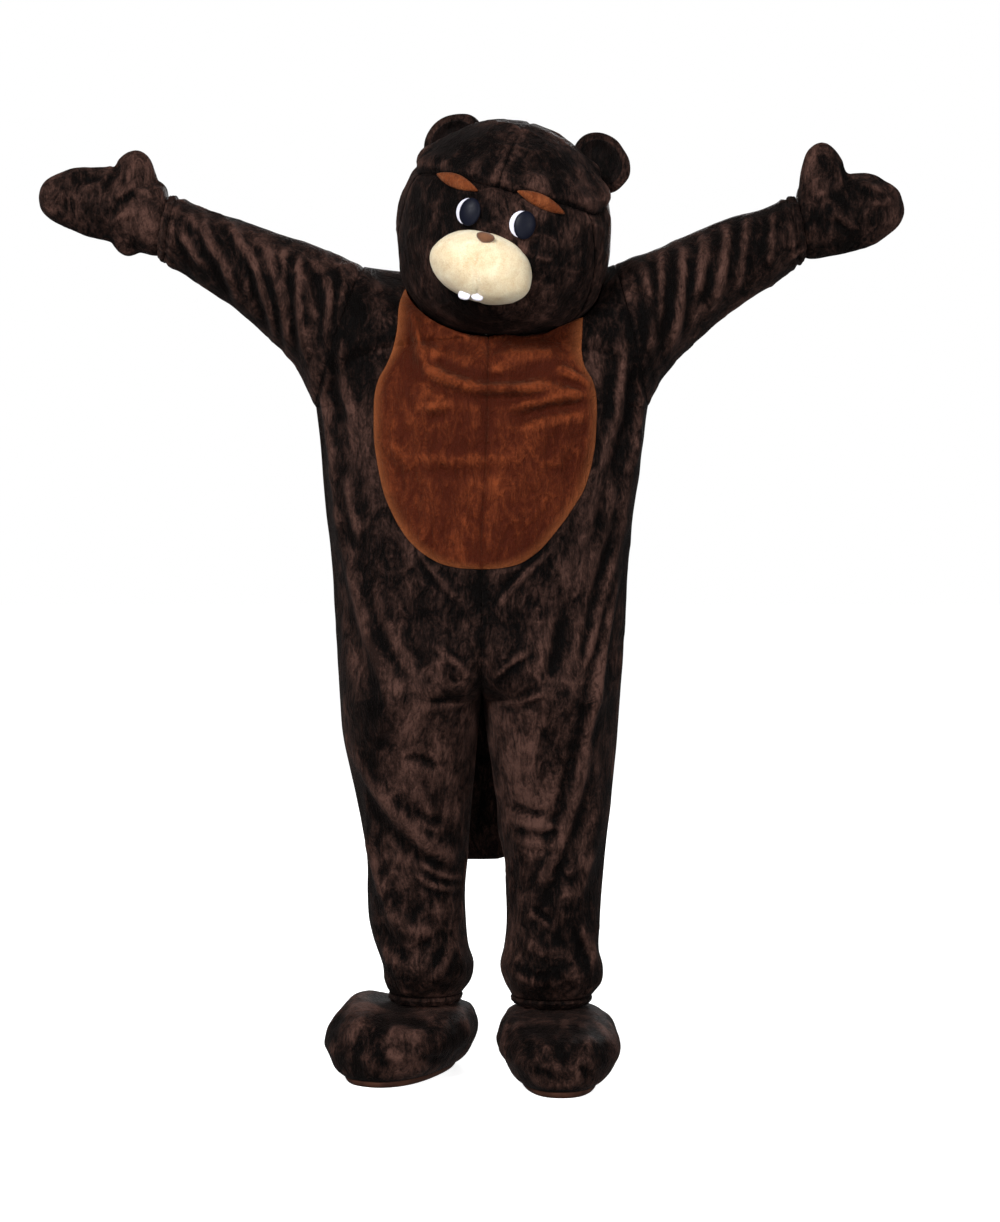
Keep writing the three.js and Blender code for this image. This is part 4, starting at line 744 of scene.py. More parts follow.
SLEEVE_FOLDS = {
    (LEFT, FRONT): [
        (-552, 1600, -452, 1421, 15, 7, -14), (-520, 1604, -500, 1500, 12, 4, 0),
        (-481, 1590, -382, 1351, 15, 8, -18), (-450, 1570, -420, 1440, 12, -4, -4),
        (-409, 1548, -358, 1330, 16, 7, -10), (-337, 1536, -322, 1315, 16, 8, 8),
        (-372, 1540, -352, 1400, 12, 4, 3), (-286, 1488, -292, 1334, 16, 6, -6),
        (-310, 1500, -300, 1400, 12, -4, 4), (-560, 1560, -520, 1496, 11, 4, 3),
        (-262, 1500, -262, 1380, 14, 5, -6),
    ],
    (LEFT, BACK): [
        (-540, 1600, -470, 1440, 16, 6, 12), (-470, 1590, -400, 1390, 16, 7, 12),
        (-400, 1560, -350, 1340, 16, 6, 8), (-330, 1530, -312, 1320, 16, 6, -6),
        (-280, 1490, -290, 1330, 16, 5, 6),
    ],
    (RIGHT, FRONT): [
        (236, 1498, 274, 1345, 16, 7, 8), (286, 1514, 302, 1321, 15, 7, -10),
        (330, 1538, 322, 1360, 13, 4, 4), (362, 1550, 336, 1321, 16, 8, -10),
        (404, 1570, 382, 1420, 14, 5, -5), (448, 1584, 420, 1420, 15, 6, -6),
        (492, 1604, 470, 1450, 14, 5, 6), (532, 1612, 520, 1490, 12, 4, -3),
        (262, 1510, 262, 1380, 14, -4, 4),
    ],
    (RIGHT, BACK): [
        (530, 1606, 470, 1440, 16, 6, -12), (462, 1590, 400, 1400, 16, 7, -12),
        (396, 1560, 350, 1350, 16, 6, -8), (330, 1530, 314, 1320, 16, 6, 6),
        (282, 1500, 290, 1330, 16, 5, -6),
    ],
}


def sleeve_points(side, turn, along):
    """A sleeve's outer surface: the tube, its folds, slack and the gathers before its hem."""
    rings = SLEEVES[side]
    plain = tube_point(rings, turn, along)
    around = tube_point(rings, turn + 1e-3, along) - tube_point(rings, turn - 1e-3, along)
    onward = tube_point(rings, turn, clamp(along + 1e-3)) - tube_point(rings, turn, clamp(along - 1e-3))
    normal = np.cross(around, onward) * side
    normal /= np.maximum(np.linalg.norm(normal, axis=-1, keepdims=True), 1e-9)
    front = smooth(-0.25, 0.25, np.sin(2 * np.pi * turn))
    x, z = plain[..., 0], plain[..., 2]
    folds = (fold_heights(SLEEVE_FOLDS[side, FRONT], x, z) * front
             + fold_heights(SLEEVE_FOLDS[side, BACK], x, z) * (1 - front))
    slack = lumps(plain * (0.8, 1, 0.7), 48, 3.1) * 3.2 + lumps(plain, 23, 1.7) * 1.2
    tired = smooth(-0.25, 0.5, lumps(plain, 90, 8.8))
    slack = slack + crumple(plain * (1, 1, 0.6), 46, 4.9) * 2.6 * tired - 0.5
    gathers = (np.cos(2 * np.pi * (13 * turn + 0.25 * np.sin(2 * np.pi * turn * 3)))
               * 2.4 * smooth(0.8, 1.0, along) * (0.6 + 0.4 * lumps(plain, 40, 9)))
    puff = 3.5 * np.exp(-(((along - 0.93) / 0.045) ** 2))
    seam = -2.2 * np.exp(-(((turn - 0.5) / 0.02) ** 2))
    out = (folds + slack) * smooth(0, 0.1, along) + gathers + puff * smooth(0, 0.1, along) + seam
    out = out * smooth(-0.02, 0.06, along) - 2.0 * np.exp(-((along / 0.02) ** 2))
    return plain + normal * out[..., None], out


# length, how far the elastic draws the end in, rows of points and folds round
WRIST_HEM = {"length": 16, "drawn_in": 3, "rows": 18, "folds": 13}
ANKLE_HEMS = {
    LEFT: {"length": 15, "drawn_in": 2.8, "rows": 16, "folds": 14},
    RIGHT: {"length": 15, "drawn_in": 6.0, "rows": 16, "folds": 14},
}


def hem_grid(ring, out, inset, length, drawn_in, rows, folds):
    """A gathered hem from a tube's end ring: it swells a little, then draws in on the elastic,
    its radius waving folds times round."""
    columns = len(ring)
    middle = ring.mean(axis=0)
    turn = np.arange(columns)[None] / columns
    along = np.linspace(0, 1, rows)[:, None]
    radial = ring - middle
    reach = np.linalg.norm(radial, axis=1)[None]
    swell = 3 * np.sin(np.pi * np.minimum(along * 1.4, 1))
    uneven = 0.22 * np.sin(2 * np.pi * turn * 2) + 0.14 * np.sin(2 * np.pi * turn * 5 + 1)
    wave = 2.6 * along * np.cos(2 * np.pi * (folds * turn + uneven))
    roll = -2.4 * smooth(0.86, 1.0, along)
    size = reach + swell + wave + roll - drawn_in * along * along - inset
    return (middle + radial[None] * (size / reach)[..., None]
            + out * (SEAM * 2 + length * along)[..., None])


def make_hem(node, ring, out, sizes, look):
    """The hem's cloth between its outer grid and the same grid drawn in by the cloth."""
    points, faces = wall(hem_grid(ring, out, 0, **sizes), hem_grid(ring, out, PLUSH, **sizes), True)
    made = piece(f"{node}_plush", points, faces, [node], look)


def make_sleeves(look):
    """The sleeves and their gathered wrist hems."""
    turns = np.arange(120) / 120
    along = np.linspace(0, 1, 120)
    for side_name, side in SIDES.items():
        tt, aa = np.meshgrid(turns, along)
        outer, heights = sleeve_points(side, tt, aa)
        centre = ring_at(SLEEVES[side], aa)[0]
        inward = centre - outer
        inner = outer + inward / np.linalg.norm(inward, axis=-1, keepdims=True) * PLUSH * 1.1
        points, faces = wall(outer, inner, True)
        node = f"sleeve_{side_name}"
        made = piece(f"{node}_plush", points, faces, [node], look,
                     painted_light_mark(heights, pile_lay(outer), True))
        out = tube_point(SLEEVES[side], 0.25, 1.0) - tube_point(SLEEVES[side], 0.25, 0.96)
        out = out * (1, 0, 1) / np.linalg.norm(out * (1, 0, 1))
        make_hem(f"wrist_hem_{side_name}", outer[-1], out, WRIST_HEM, look)


def make_ankle_hems(look):
    """The gathered hems of the legs, drawn in on the foot covers' collars."""
    for side_name, side in SIDES.items():
        turn = np.arange(160) / 160
        centre, half, _, depth, back = section(side, np.array(float(BOTTOM_LEVEL)))
        ring = np.stack([side * centre + half * np.sin(2 * np.pi * turn),
                         back - depth * np.cos(2 * np.pi * turn),
                         np.full(turn.shape, float(BOTTOM_LEVEL))], axis=-1)
        make_hem(f"ankle_hem_{side_name}", ring, np.array([0, 0, -1.0]), ANKLE_HEMS[side], look)


# ------------------------------------------------------------------ mittens
MITTEN_CREASES = {
    LEFT: [
        (-676, 1700, -700, 1640, 10, -4, 3), (-700, 1660, -760, 1640, 12, 4, -4),
        (-640, 1600, -700, 1575, 12, 4, 5), (-640, 1650, -690, 1610, 11, -4, -5),
        (-610, 1630, -660, 1640, 10, 3, 3), (-730, 1620, -800, 1632, 12, 3, 4),
    ],
    RIGHT: [
        (662, 1700, 672, 1640, 10, -4, -3), (690, 1660, 742, 1640, 12, 4, 4),
        (630, 1600, 690, 1566, 12, 4, -5), (630, 1650, 680, 1606, 11, -4, 5),
        (604, 1626, 650, 1640, 10, 3, -3), (706, 1610, 764, 1622, 12, 3, -4),
    ],
}


# size of the remeshed skin's cells in metres, how the thumb leans in radians, the height that
# the cuff's gathers run round, and how far beyond the rings' mouth the cuff is cut open
MITTEN = {"cell": 0.0036, "thumb_lean": 0.1, "cuff_height": 1585, "cut": 7}


def joined(name, forms):
    """One mesh object from several closed forms, for remeshing into one skin."""
    points, faces, start = [], [], 0
    for outer in forms:
        form, quads, fans = capped(outer)
        faces += (quads + start).tolist() + (fans + start).tolist()
        points.append(form)
        start += len(form)
    mesh = bpy.data.meshes.new(name)
    mesh.from_pydata(to_frame(np.concatenate(points)).tolist(), [], faces)
    return placed(name, mesh)


def settle(made, modifiers):
    """Gives the object these modifiers and applies them, so that none is left on it."""
    for kind, settings in modifiers:
        modifier = made.modifiers.new(kind.lower(), kind)
        for key, value in settings.items():
            setattr(modifier, key, value)
    depsgraph = bpy.context.evaluated_depsgraph_get()
    mesh = bpy.data.meshes.new_from_object(made.evaluated_get(depsgraph))
    made.modifiers.clear()
    old = made.data
    made.data = mesh
    bpy.data.meshes.remove(old)


def mesh_points(made):
    """An object's points in millimetres above the floor, and its unit normals."""
    mesh = made.data
    points = np.empty(len(mesh.vertices) * 3)
    mesh.vertices.foreach_get("co", points)
    normals = np.empty(len(mesh.vertices) * 3)
    mesh.vertices.foreach_get("normal", normals)
    return points.reshape(-1, 3) * 1000 + (0, 0, SHOULDER_HEIGHT), normals.reshape(-1, 3)


def trimmed(points, polygons, kept):
    """The polygons whose corners are all kept, with just the points that they use: which
    points those are, and each polygon's corners counted among them."""
    faces = [polygon for polygon in polygons if kept[polygon].all()]
    used = np.unique(np.concatenate(faces))
    index = np.full(len(points), -1)
    index[used] = np.arange(len(used))
    return used, [index[face].tolist() for face in faces]


def ball(centre, half, rows=22, columns=32, turn=0.0, power=2.0):
    """A stretched ball: rings by latitude, its sections superellipses of the power given,
    turned about the Y axis."""
    tilt = np.linspace(-np.pi / 2 + 0.06, np.pi / 2 - 0.06, rows)[:, None]
    round_ = (np.arange(columns) / columns * 2 * np.pi)[None]
    x = half[0] * blunt(np.cos(round_), 2 / power) * np.cos(tilt)
    y = half[1] * blunt(np.sin(round_), 2 / power) * np.cos(tilt)
    z = half[2] * np.sin(tilt) + 0 * x
    cos, sin = math.cos(turn), math.sin(turn)
    return np.stack([x * cos + z * sin, y, -x * sin + z * cos], axis=-1) + centre


def make_mittens(look):
    """Each mitten: the hand's loft and the thumb's ball become one skin, the seam round the
    palm is pulled in by exp(-(y/width)^2), creases are pushed up and the cuff is cut open."""
    for side_name, side in SIDES.items():
        rings = MITTENS[side]
        turns, along = np.meshgrid(np.arange(64) / 64, np.linspace(0, 1, 80))
        hand = tube_point(rings, turns, along)
        x, z = THUMBS[side]
        thumb = ball((x, 0, z), (THUMB["half_width"] - 1, THUMB["half_depth"], THUMB["half_length"]),
                     turn=-side * MITTEN["thumb_lean"])
        made = joined(f"mitten_{side_name}_plush", [hand, thumb])
        settle(made, [("REMESH", {"mode": "VOXEL", "voxel_size": MITTEN["cell"]}),
                      ("SMOOTH", {"factor": 0.5, "iterations": 9})])
        points, normals = mesh_points(made)
        slack = lumps(points, 38, 4.4) * 2.6 + lumps(points, 17, 6.1) * 1.1
        creases = fold_heights(MITTEN_CREASES[side], points[:, 0], points[:, 2])
        off_seam = np.abs(points[:, 1])
        seam = -3.2 * np.exp(-((off_seam / 3.4) ** 2)) + 1.2 * np.exp(-(((off_seam - 10) / 5) ** 2))
        reach = side * points[:, 0]
        body = smooth(584, 606, reach)
        round_cuff = np.arctan2(points[:, 1], points[:, 2] - MITTEN["cuff_height"])
        cuff = np.cos(13 * round_cuff) * 1.6 * (1 - smooth(596, 640, reach)) * body
        points = points + normals * ((slack + creases * 0.9 + seam + cuff) * body)[:, None]
        # a painted highlight on the creases' ridges and the slack's bulges, painted shade in their hollows,
        # and the pile's lay
        lay_and_painted_light = clamp(creases / 5 + slack / 6 + pile_lay(points), -1, 1)
        beyond_cuff = points[:, 0] * side > rings["top_x"][0] * side + MITTEN["cut"]
        polygons = [list(polygon.vertices) for polygon in made.data.polygons]
        used, faces = trimmed(points, polygons, beyond_cuff)
        made.data = smooth_mesh("open_cuff", points[used], faces, {"crest": lay_and_painted_light[used]})
        settle(made, [("SOLIDIFY", {"thickness": PLUSH / 1000, "offset": -1.0})])
        made.data.shade_smooth()
        finish_piece(made, [f"mitten_palm_{side_name}", f"mitten_back_{side_name}"], look)


# ------------------------------------------------------------------ feet
FOOT_BLUNT = 0.86


def foot_point(side, turn, height, inset=0.0):
    """A foot's level ring about the ankle: blunt superellipse, wider towards the toes, shifted
    and stretched by as much of the foot's own amounts as its row takes."""
    angle = 2 * np.pi * turn
    ankle = ANKLES[side]
    ahead, long, wide, own = (curve(FOOT["height"], FOOT[name], height)
                              for name in ("ahead", "long", "wide", "own"))
    own = clamp(own)
    ahead = ahead + ankle["further"] * own
    long = long * (1 + (ankle["longer"] - 1) * own)
    wide = wide * (1 + (ankle["broader"] - 1) * own)
    forward = ahead + (long - inset) * blunt(np.cos(angle), FOOT_BLUNT)
    sideways = (wide - inset) * blunt(np.sin(angle), FOOT_BLUNT) * (1 + 0.08 * np.cos(angle))
    aside = ankle["out"] * own + sideways
    turned = math.radians(ankle["turn"])
    return np.stack([
        ankle["x"] + forward * math.sin(turned) + aside * math.cos(turned),
        ankle["y"] - forward * math.cos(turned) + aside * math.sin(turned),
        height + 0 * forward], axis=-1)


FOOT_FOLDS = {
    LEFT: [(-170, 116, -90, 104, 12, -5, -4), (-190, 96, -100, 84, 14, 4, -6),
           (-200, 70, -160, 50, 14, -3, 2), (-120, 60, -80, 48, 13, -3, 2)],
    RIGHT: [(70, 112, 150, 124, 12, -5, 4), (90, 92, 176, 104, 14, 4, 6),
            (170, 66, 190, 44, 12, -3, 2), (80, 60, 130, 48, 13, -3, 2)],
}


# heights of the foot's lowest ring, of its neck and of the collar's top
FOOT_BOTTOM, FOOT_NECK, FOOT_TOP = 27.3, 123, 156
# how far inside the foot's rings the cover's inner side lies, and its thickness in front
COVER = {"inside": 6.5, "thick": 5}
# the left foot's bulge, and how far both covers hang over their soles
DOME = {"x": -228, "half_width": 44, "rise": 24}
OVERHANG = {"out": 5.5, "down": 12, "fade": 12}
# the sole's outline: height, and how far it lies inside the foot's lowest ring
SOLE = np.array([
    (0, 60), (0, 8), (1.5, 5.5), (4, 3.4), (8, 1.4), (12, 0.6), (12.6, 1.6), (15.4, 1.6),
    (16, 0.6), (22, 0), (26, 0.6), (27.1, 1.6), (27.1, 60),
], dtype=[("height", float), ("inset", float)])


def make_sole(side_name, side, look):
    """A flat rubber sole: the foot's lowest ring, drawn in by the outline's row at each height."""
    turns = (np.arange(144) / 144)[None]
    tread = foot_point(side, turns, np.full((len(SOLE), 1), FOOT_BOTTOM) + 0 * turns,
                       SOLE["inset"][:, None])
    tread[..., 2] = SOLE["height"][:, None]
    node = f"foot_sole_{side_name}"
    closed_piece(f"{node}_rubber", tread, [node], look)


def make_foot_cover(side_name, side, look):
    """A padded foot cover, open at the ankle: the foot's rings pushed out along their normals by
    slack, folds, the toe seam and the roll over the sole."""
    turns = np.arange(120) / 120
    heights = np.concatenate([np.linspace(FOOT_BOTTOM, FOOT_NECK, 64),
                              np.linspace(FOOT_NECK, FOOT_TOP, 8)[1:]])
    tt, hh = np.meshgrid(turns, heights)
    plain = foot_point(side, tt, hh)
    normal = ring_normals(plain)
    outward = plain - foot_point(side, tt, hh, 30)
    normal *= np.sign(np.einsum("ijk,ijk->ij", normal, outward).mean())
    slack = lumps(plain, 44, 2.9) * 3.4 + lumps(plain, 19, 7.7) * 1.2
    folds = fold_heights(FOOT_FOLDS[side], plain[..., 0], plain[..., 2])
    front = smooth(0.1, 0.6, np.cos(2 * np.pi * tt))
    toe_seam = -2.6 * np.exp(-((np.abs(np.sin(np.pi * tt)) / 0.028) ** 2)) * smooth(27, 60, hh)
    low_roll = 2.5 * np.exp(-(((hh - 38) / 9) ** 2)) - 3.2 * np.exp(-(((hh - 28) / 5) ** 2))
    body = 1 - smooth(112, 122, hh)
    out = (slack + folds * front + toe_seam) * smooth(27, 44, hh) * body + low_roll
    if side == LEFT:
        dome = np.exp(-(((plain[..., 0] - DOME["x"]) / DOME["half_width"]) ** 2))
        out = out + DOME["rise"] * (dome * smooth(66, 108, hh) * (1 - smooth(117, 123, hh)))
    pucker = np.cos(2 * np.pi * 16 * tt) * 1.5 * np.exp(-(((hh - 106) / 14) ** 2)) * body
    overhang = np.exp(-(((hh - 27) / OVERHANG["fade"]) ** 2))
    outer = (plain + normal * (out + pucker + OVERHANG["out"] * overhang)[..., None]
             - overhang[..., None] * (0, 0, OVERHANG["down"]))
    inner = foot_point(side, tt, hh, COVER["inside"])
    inner = lerp(inner, outer - normal * COVER["thick"], (body * 0.6)[..., None])
    points, faces = wall(outer, inner, True)
    node = f"foot_cover_{side_name}"
    made = piece(f"{node}_plush", points, faces, [node], look,
                 painted_light_mark(out + pucker, pile_lay(outer), True))


def make_feet(cover_look, sole_look):
    """Each foot's cover and sole."""
    for side_name, side in SIDES.items():
        make_foot_cover(side_name, side, cover_look)
        make_sole(side_name, side, sole_look)


# ------------------------------------------------------------------ tail
# heights of the tail's last ring, of the end of its blunt tip and of its root at the seat
TAIL_TIP, TAIL_BLUNT, TAIL_ROOT = 364.5, 404, 860


def make_tail(look):
    """A flat stuffed paddle: ellipses of the table's width and thickness, blunt at the sides,
    with a seam round its edge and rows of soft dents across it."""
    heights = np.concatenate([[TAIL_TIP], np.linspace(TAIL_TIP + 2.5, TAIL_BLUNT, 18),
                              np.linspace(TAIL_BLUNT, TAIL_ROOT, 96)[1:]])
    turns = np.arange(96) / 96
    tt, hh = np.meshgrid(turns, heights)
    angle = 2 * np.pi * tt
    y, wide, thick = (curve(TAIL["height"], TAIL[name], hh) for name in ("y", "wide", "thick"))
    cos, sin = np.cos(angle), np.sin(angle)
    across, deep = blunt(cos, 0.9), blunt(sin, 1.15)
    edge = np.exp(-((sin / 0.16) ** 2))
    slack = lumps(np.stack([cos * wide, sin * 40, hh], axis=-1), 46, 6.6) * 2.2
    dents = np.cos(hh / 17) * 0.8 * np.abs(sin) * smooth(380, 430, hh) * (1 - smooth(780, 830, hh))
    free = 1 - smooth(800, 850, hh)
    swell = (slack * np.abs(sin) + dents) * free
    outer = np.stack([TAIL_X + across * (wide - 2.5 * edge), y + deep * (thick + swell), hh], axis=-1)
    made = closed_piece("tail_plush", outer, ["tail"], look)


# ------------------------------------------------------------------ head
# in degrees: the seams between face and back from straight ahead, and half of a seam's gap
FACE_SIDE = 68
SEAM_TURN = 0.12
# the brow seam: degrees round from the front, and degrees from the neck's axis
BROW_SEAM = np.array([
    (0, 131.5), (25, 130), (50, 124.5), (78, 115), (110, 118), (145, 130), (180, 135),
], dtype=[("turn", float), ("apart", float)])
# the crown's last ring, short of the neck's axis, and half its middle seam, by the head's size
CROWN = {"last": 179.3, "half_seam": 0.0009}
# a rough radius, by which directions become places in millimetres
HEAD_ROUND = 190


def brow_seam(turn):
    """Degrees from the neck's axis to the seam over the brows: a bow that drops at the sides."""
    return curve(BROW_SEAM["turn"], BROW_SEAM["apart"], np.abs(turn))


def head_relief(direction, turn, apart):
    """Small unevenness of the head's plush over its foam: slack, the crown's edge puffed out
    over the face, gathers that run up from the brow seam, a fold under the cheeks and the pull
    of the seams."""
    place = direction * HEAD_ROUND
    slack = (lumps(place, 60, 2.4) * 3.0 + lumps(place, 26, 9.3) * 1.6
             + crumple(place, 44, 3.7) * 2.2 - 0.6)
    over = apart - brow_seam(turn)
    radians = np.radians(turn)
    fan = np.cos(radians * 12 + 0.9 * np.sin(radians * 3) + 0.7 * np.sin(radians * 5 + 1))
    uneven = 0.7 + 0.5 * lumps(place * (1, 1, 0.3), 38, 5.6)
    gathers = fan * uneven * 5.0 * np.exp(-(((over - 5) / 12) ** 2)) * smooth(0, 4, over)
    puff = (6.5 * np.exp(-(((over - 6.5) / 6) ** 2)) * smooth(0, 4, over)
            * smooth(150, 100, np.abs(turn)))
    below = fan * 1.2 * np.exp(-(((over + 5) / 6) ** 2)) - 2.5 * np.exp(-(((over + 2) / 3) ** 2))
    brow = -4.2 * np.exp(-((over / 1.3) ** 2))
    sides = -2.6 * np.exp(-(((np.abs(turn) - FACE_SIDE) / 1.3) ** 2)) * smooth(2, -2, over)
    cheek = 3.0 * np.exp(-(((apart - 62 - 6 * np.cos(np.radians(turn * 2))) / 8) ** 2))
    chin = -2.4 * np.exp(-(((apart - 76) / 6) ** 2)) * smooth(70, 30, np.abs(turn))
    return slack + gathers + puff + below + brow + sides + cheek + chin


def opening_at(turn):
    """Edge of the head's neck opening, in degrees from the neck's axis."""
    return 38 - 6 * np.cos(np.radians(turn)) - 4 * np.cos(np.radians(2 * turn))


def head_shell(name, turn, apart, relief_out, look):
    """A wall of the head between its plush and its foam's inside."""
    direction = leaned(neck_direction(turn, apart))
    outer = head_point(direction) + direction * relief_out[..., None]
    inner = head_point(direction, -HEAD_WALL)
    points, faces = wall(outer, inner)
    # the pile's lay, with painted shade darkening the head's left side, and the crown above the brow seam
    # darker
    lay_and_painted_light = (pile_lay(outer) - 0.5 * smooth(10, -45, wrapped(turn))
           - 0.3 * smooth(6, 22, apart - brow_seam(wrapped(turn))))
    made = piece(f"{name}_plush", points, faces, [name], look, painted_light_mark(relief_out, lay_and_painted_light))


def wrapped(turn):
    """Degrees round the neck's axis kept between -180 and 180."""
    return (turn + 180) % 360 - 180


def make_head(look):
    """Face and back, from the neck's opening to the brow seam, and the two halves of the crown
    from there to the top, in rows of equal share."""
    gap = SEAM_TURN
    v = np.linspace(0, 1, 110)[:, None]
    for name, turns in (("head_face", np.linspace(-FACE_SIDE + gap, FACE_SIDE - gap, 120)),
                        ("head_back", np.linspace(FACE_SIDE + gap, 360 - FACE_SIDE - gap, 120))):
        turn = turns[None] + 0 * v
        apart = lerp(opening_at(turn), brow_seam(wrapped(turn)) - gap, v)
        direction = neck_direction(turn, apart)
        out = head_relief(direction, wrapped(turn), apart)
        tuck = -5.0 * smooth(5, 0, apart - opening_at(turn))
        head_shell(name, turn, apart, out + tuck, look)
    v = np.linspace(0, 1, 60)[:, None]
    for side_name, side in SIDES.items():
        share = np.linspace(0, 1, 110)[None]
        apart = lerp(brow_seam(180 * share) + 2 * gap, CROWN["last"], v)
        clear = np.degrees(np.arcsin(CROWN["half_seam"] / np.sin(np.radians(apart))))
        turn = side * lerp(clear, 180 - clear, share)
        direction = neck_direction(turn, apart)
        middle = np.abs(direction[..., 0]) * HEAD_ROUND
        seam = -3.0 * np.exp(-((middle / 4.5) ** 2))
        out = head_relief(direction, turn, apart) + seam
        head_shell(f"head_crown_{side_name}", turn, apart, out, look)


HEAD_RIGHT = leaned(np.array([1.0, 0, 0]))
HEAD_BACK = leaned(np.array([0, 1.0, 0]))
HEAD_UP = leaned(np.array([0, 0, 1.0]))
HEAD_AXES = np.stack([HEAD_RIGHT, HEAD_BACK, HEAD_UP])


def face_direction(aside, up):
    """Unit vector aside degrees to the right of straight ahead and up degrees above it."""
    aside, up = math.radians(aside), math.radians(up)
    return leaned(np.array([math.sin(aside) * math.cos(up), -math.cos(aside) * math.cos(up),
                            math.sin(up)]))


def out_of_head(points, lift):
    """Points inside the head's form, or nearer to it than lift, moved out to that distance."""
    away = points - HEAD_CENTRE
    reach = np.linalg.norm(away, axis=-1, keepdims=True)
    direction = away / reach
    least = np.linalg.norm(head_point(direction, lift) - HEAD_CENTRE, axis=-1, keepdims=True)
    return HEAD_CENTRE + direction * np.maximum(reach, least)


# half sizes and centres along the head's right, back and up; the nose's and the teeth's
# centres are measured from the muzzle's
MUZZLE = {"up": -28, "half": (93, 60, 62), "sink": 8, "clear": 1.2, "sag": 12}
NOSE = {"half": (16, 10, 9.5), "centre": (3, -44, 47)}
TOOTH = {"half": (10.6, 4.2, 7.6), "aside": 11.6, "back": -28, "up": {LEFT: -58, RIGHT: -54.5}}
MUZZLE_AHEAD = face_direction(0, MUZZLE["up"])
MUZZLE_CENTRE = head_point(MUZZLE_AHEAD) - MUZZLE_AHEAD * MUZZLE["sink"]


def in_head(points):
    """Points given along the head's right, back and up directions, turned into place."""
    return points @ HEAD_AXES


def unit_ball(rows, columns, power=2.0):
    """x, y and z of a ball of radius 1 whose level sections are superellipses of the power."""
    return np.moveaxis(ball(np.zeros(3), (1, 1, 1), rows, columns, power=power), -1, 0)


def make_muzzle(fleece, nose_look, tooth_look):
    """A soft cushion of two cheeks with a faint seam between, a nose pad and two flat teeth."""
    x, y, z = unit_ball(60, 120)
    wide, deep, tall = MUZZLE["half"]
    flare = 1 + 0.06 * (-z)
    groove = 3.2 * np.exp(-((x / 0.035) ** 2)) * smooth(0.2, -0.2, y)
    cheeks = 1 + 0.05 * np.exp(-(((np.abs(x) - 0.45) / 0.3) ** 2)) * smooth(0, -0.6, y)
    sag = MUZZLE["sag"] * smooth(0.2, -1, z)
    pad = np.stack([x * wide * flare + sag, y * (deep - 1) * cheeks, z * tall], axis=-1)
    soft = lumps(pad, 34, 5.1) * 1.6 + lumps(pad, 15, 1.3) * 0.6
    push = pad / np.linalg.norm(pad, axis=-1, keepdims=True)
    pad = pad + push * (soft - groove)[..., None]
    outer = out_of_head(in_head(pad) + MUZZLE_CENTRE, MUZZLE["clear"])
    closed_piece("muzzle_fleece", outer, ["muzzle"], fleece)

    x, y, z = unit_ball(24, 40, 2.3)
    wide, deep, tall = NOSE["half"]
    outer = np.stack([x * wide * (1 + 0.22 * z), y * deep, z * tall], axis=-1)
    outer = in_head(outer + NOSE["centre"]) + MUZZLE_CENTRE
    closed_piece("nose_pad", outer, ["nose"], nose_look)

    for side_name, side in SIDES.items():
        x, y, z = unit_ball(24, 32, 4.0)
        wide, deep, tall = TOOTH["half"]
        z = blunt(z, 0.6)
        outer = np.stack([x * wide * (1 + 0.06 * z), y * deep, z * tall], axis=-1)
        centre = (side * TOOTH["aside"], TOOTH["back"], TOOTH["up"][side])
        outer = in_head(outer + centre) + MUZZLE_CENTRE
        node = f"tooth_{side_name}"
        closed_piece(f"{node}_felt", outer, [node], tooth_look)


# pads of the face: degrees from straight ahead to their middle, on each side and with a shift
# of both to the right; half sizes; how far the rim stands over the head; the crown's height
FACE_PADS = {
    "eye_white": {"aside": 15, "shift": 1.7, "up": -0.9, "half": (22, 24.5), "low": 0.5, "crown": 2.4},
    "eye_pupil": {"aside": 15, "shift": 3.4, "up": -1, "half": (19.5, 25.5), "low": 3.4, "crown": 6.2},
    "brow": {"aside": 25, "shift": 0, "up": 13.6, "half": (50, 13), "low": 0.8, "crown": 9.6},
}
BROW_TURN = {LEFT: -16, RIGHT: -4}
BROW_POINTED = 0.52


def face_pad(kind, side_name, finish, look, pointed=0.0, turn=0.0, soft=False):
    """A pad on the head: rings of an oval, or of a leaf when pointed, whose height above the
    head's form is the crown times (1 - share^2)^0.6."""
    pad = FACE_PADS[kind]
    wide, tall = pad["half"]
    middle = face_direction(SIDES[side_name] * pad["aside"] + pad["shift"], pad["up"])
    right = HEAD_RIGHT - middle * (HEAD_RIGHT @ middle)
    right /= np.linalg.norm(right)
    over = np.cross(middle, right)
    over = over if over @ HEAD_UP > 0 else -over
    angle = (np.arange(72) / 72 * 2 * np.pi)[None]
    under, crowned = np.linspace(0.04, 1, 4), np.sin(np.linspace(np.pi / 2, 0.03, 22))
    share = np.concatenate([under, crowned])[:, None]
    height = np.concatenate([0 * under, (1 - crowned ** 2) ** 0.6 * 0.85 + 0.15])[:, None]
    height[-1] = 1
    taper = 1 - pointed * np.cos(angle) ** 2
    flat_x = wide * share * np.cos(angle)
    flat_z = tall * share * np.sin(angle) * taper
    cos, sin = math.cos(math.radians(turn)), math.sin(math.radians(turn))
    step_x = (flat_x * cos - flat_z * sin) / HEAD_HALF["width"]
    step_z = (flat_x * sin + flat_z * cos) / HEAD_HALF["width"]
    direction = middle + right * step_x[..., None] + over * step_z[..., None]
    direction /= np.linalg.norm(direction, axis=-1, keepdims=True)
    base = head_point(direction)
    out = pad["low"] + pad["crown"] * height
    if soft:
        out = out + (lumps(base, 9, 3.3) * 0.9 + lumps(base, 20, 1.1)) * height
    node = f"{kind}_{side_name}"
    return closed_piece(f"{node}_{finish}", base + direction * out[..., None], [node], look)


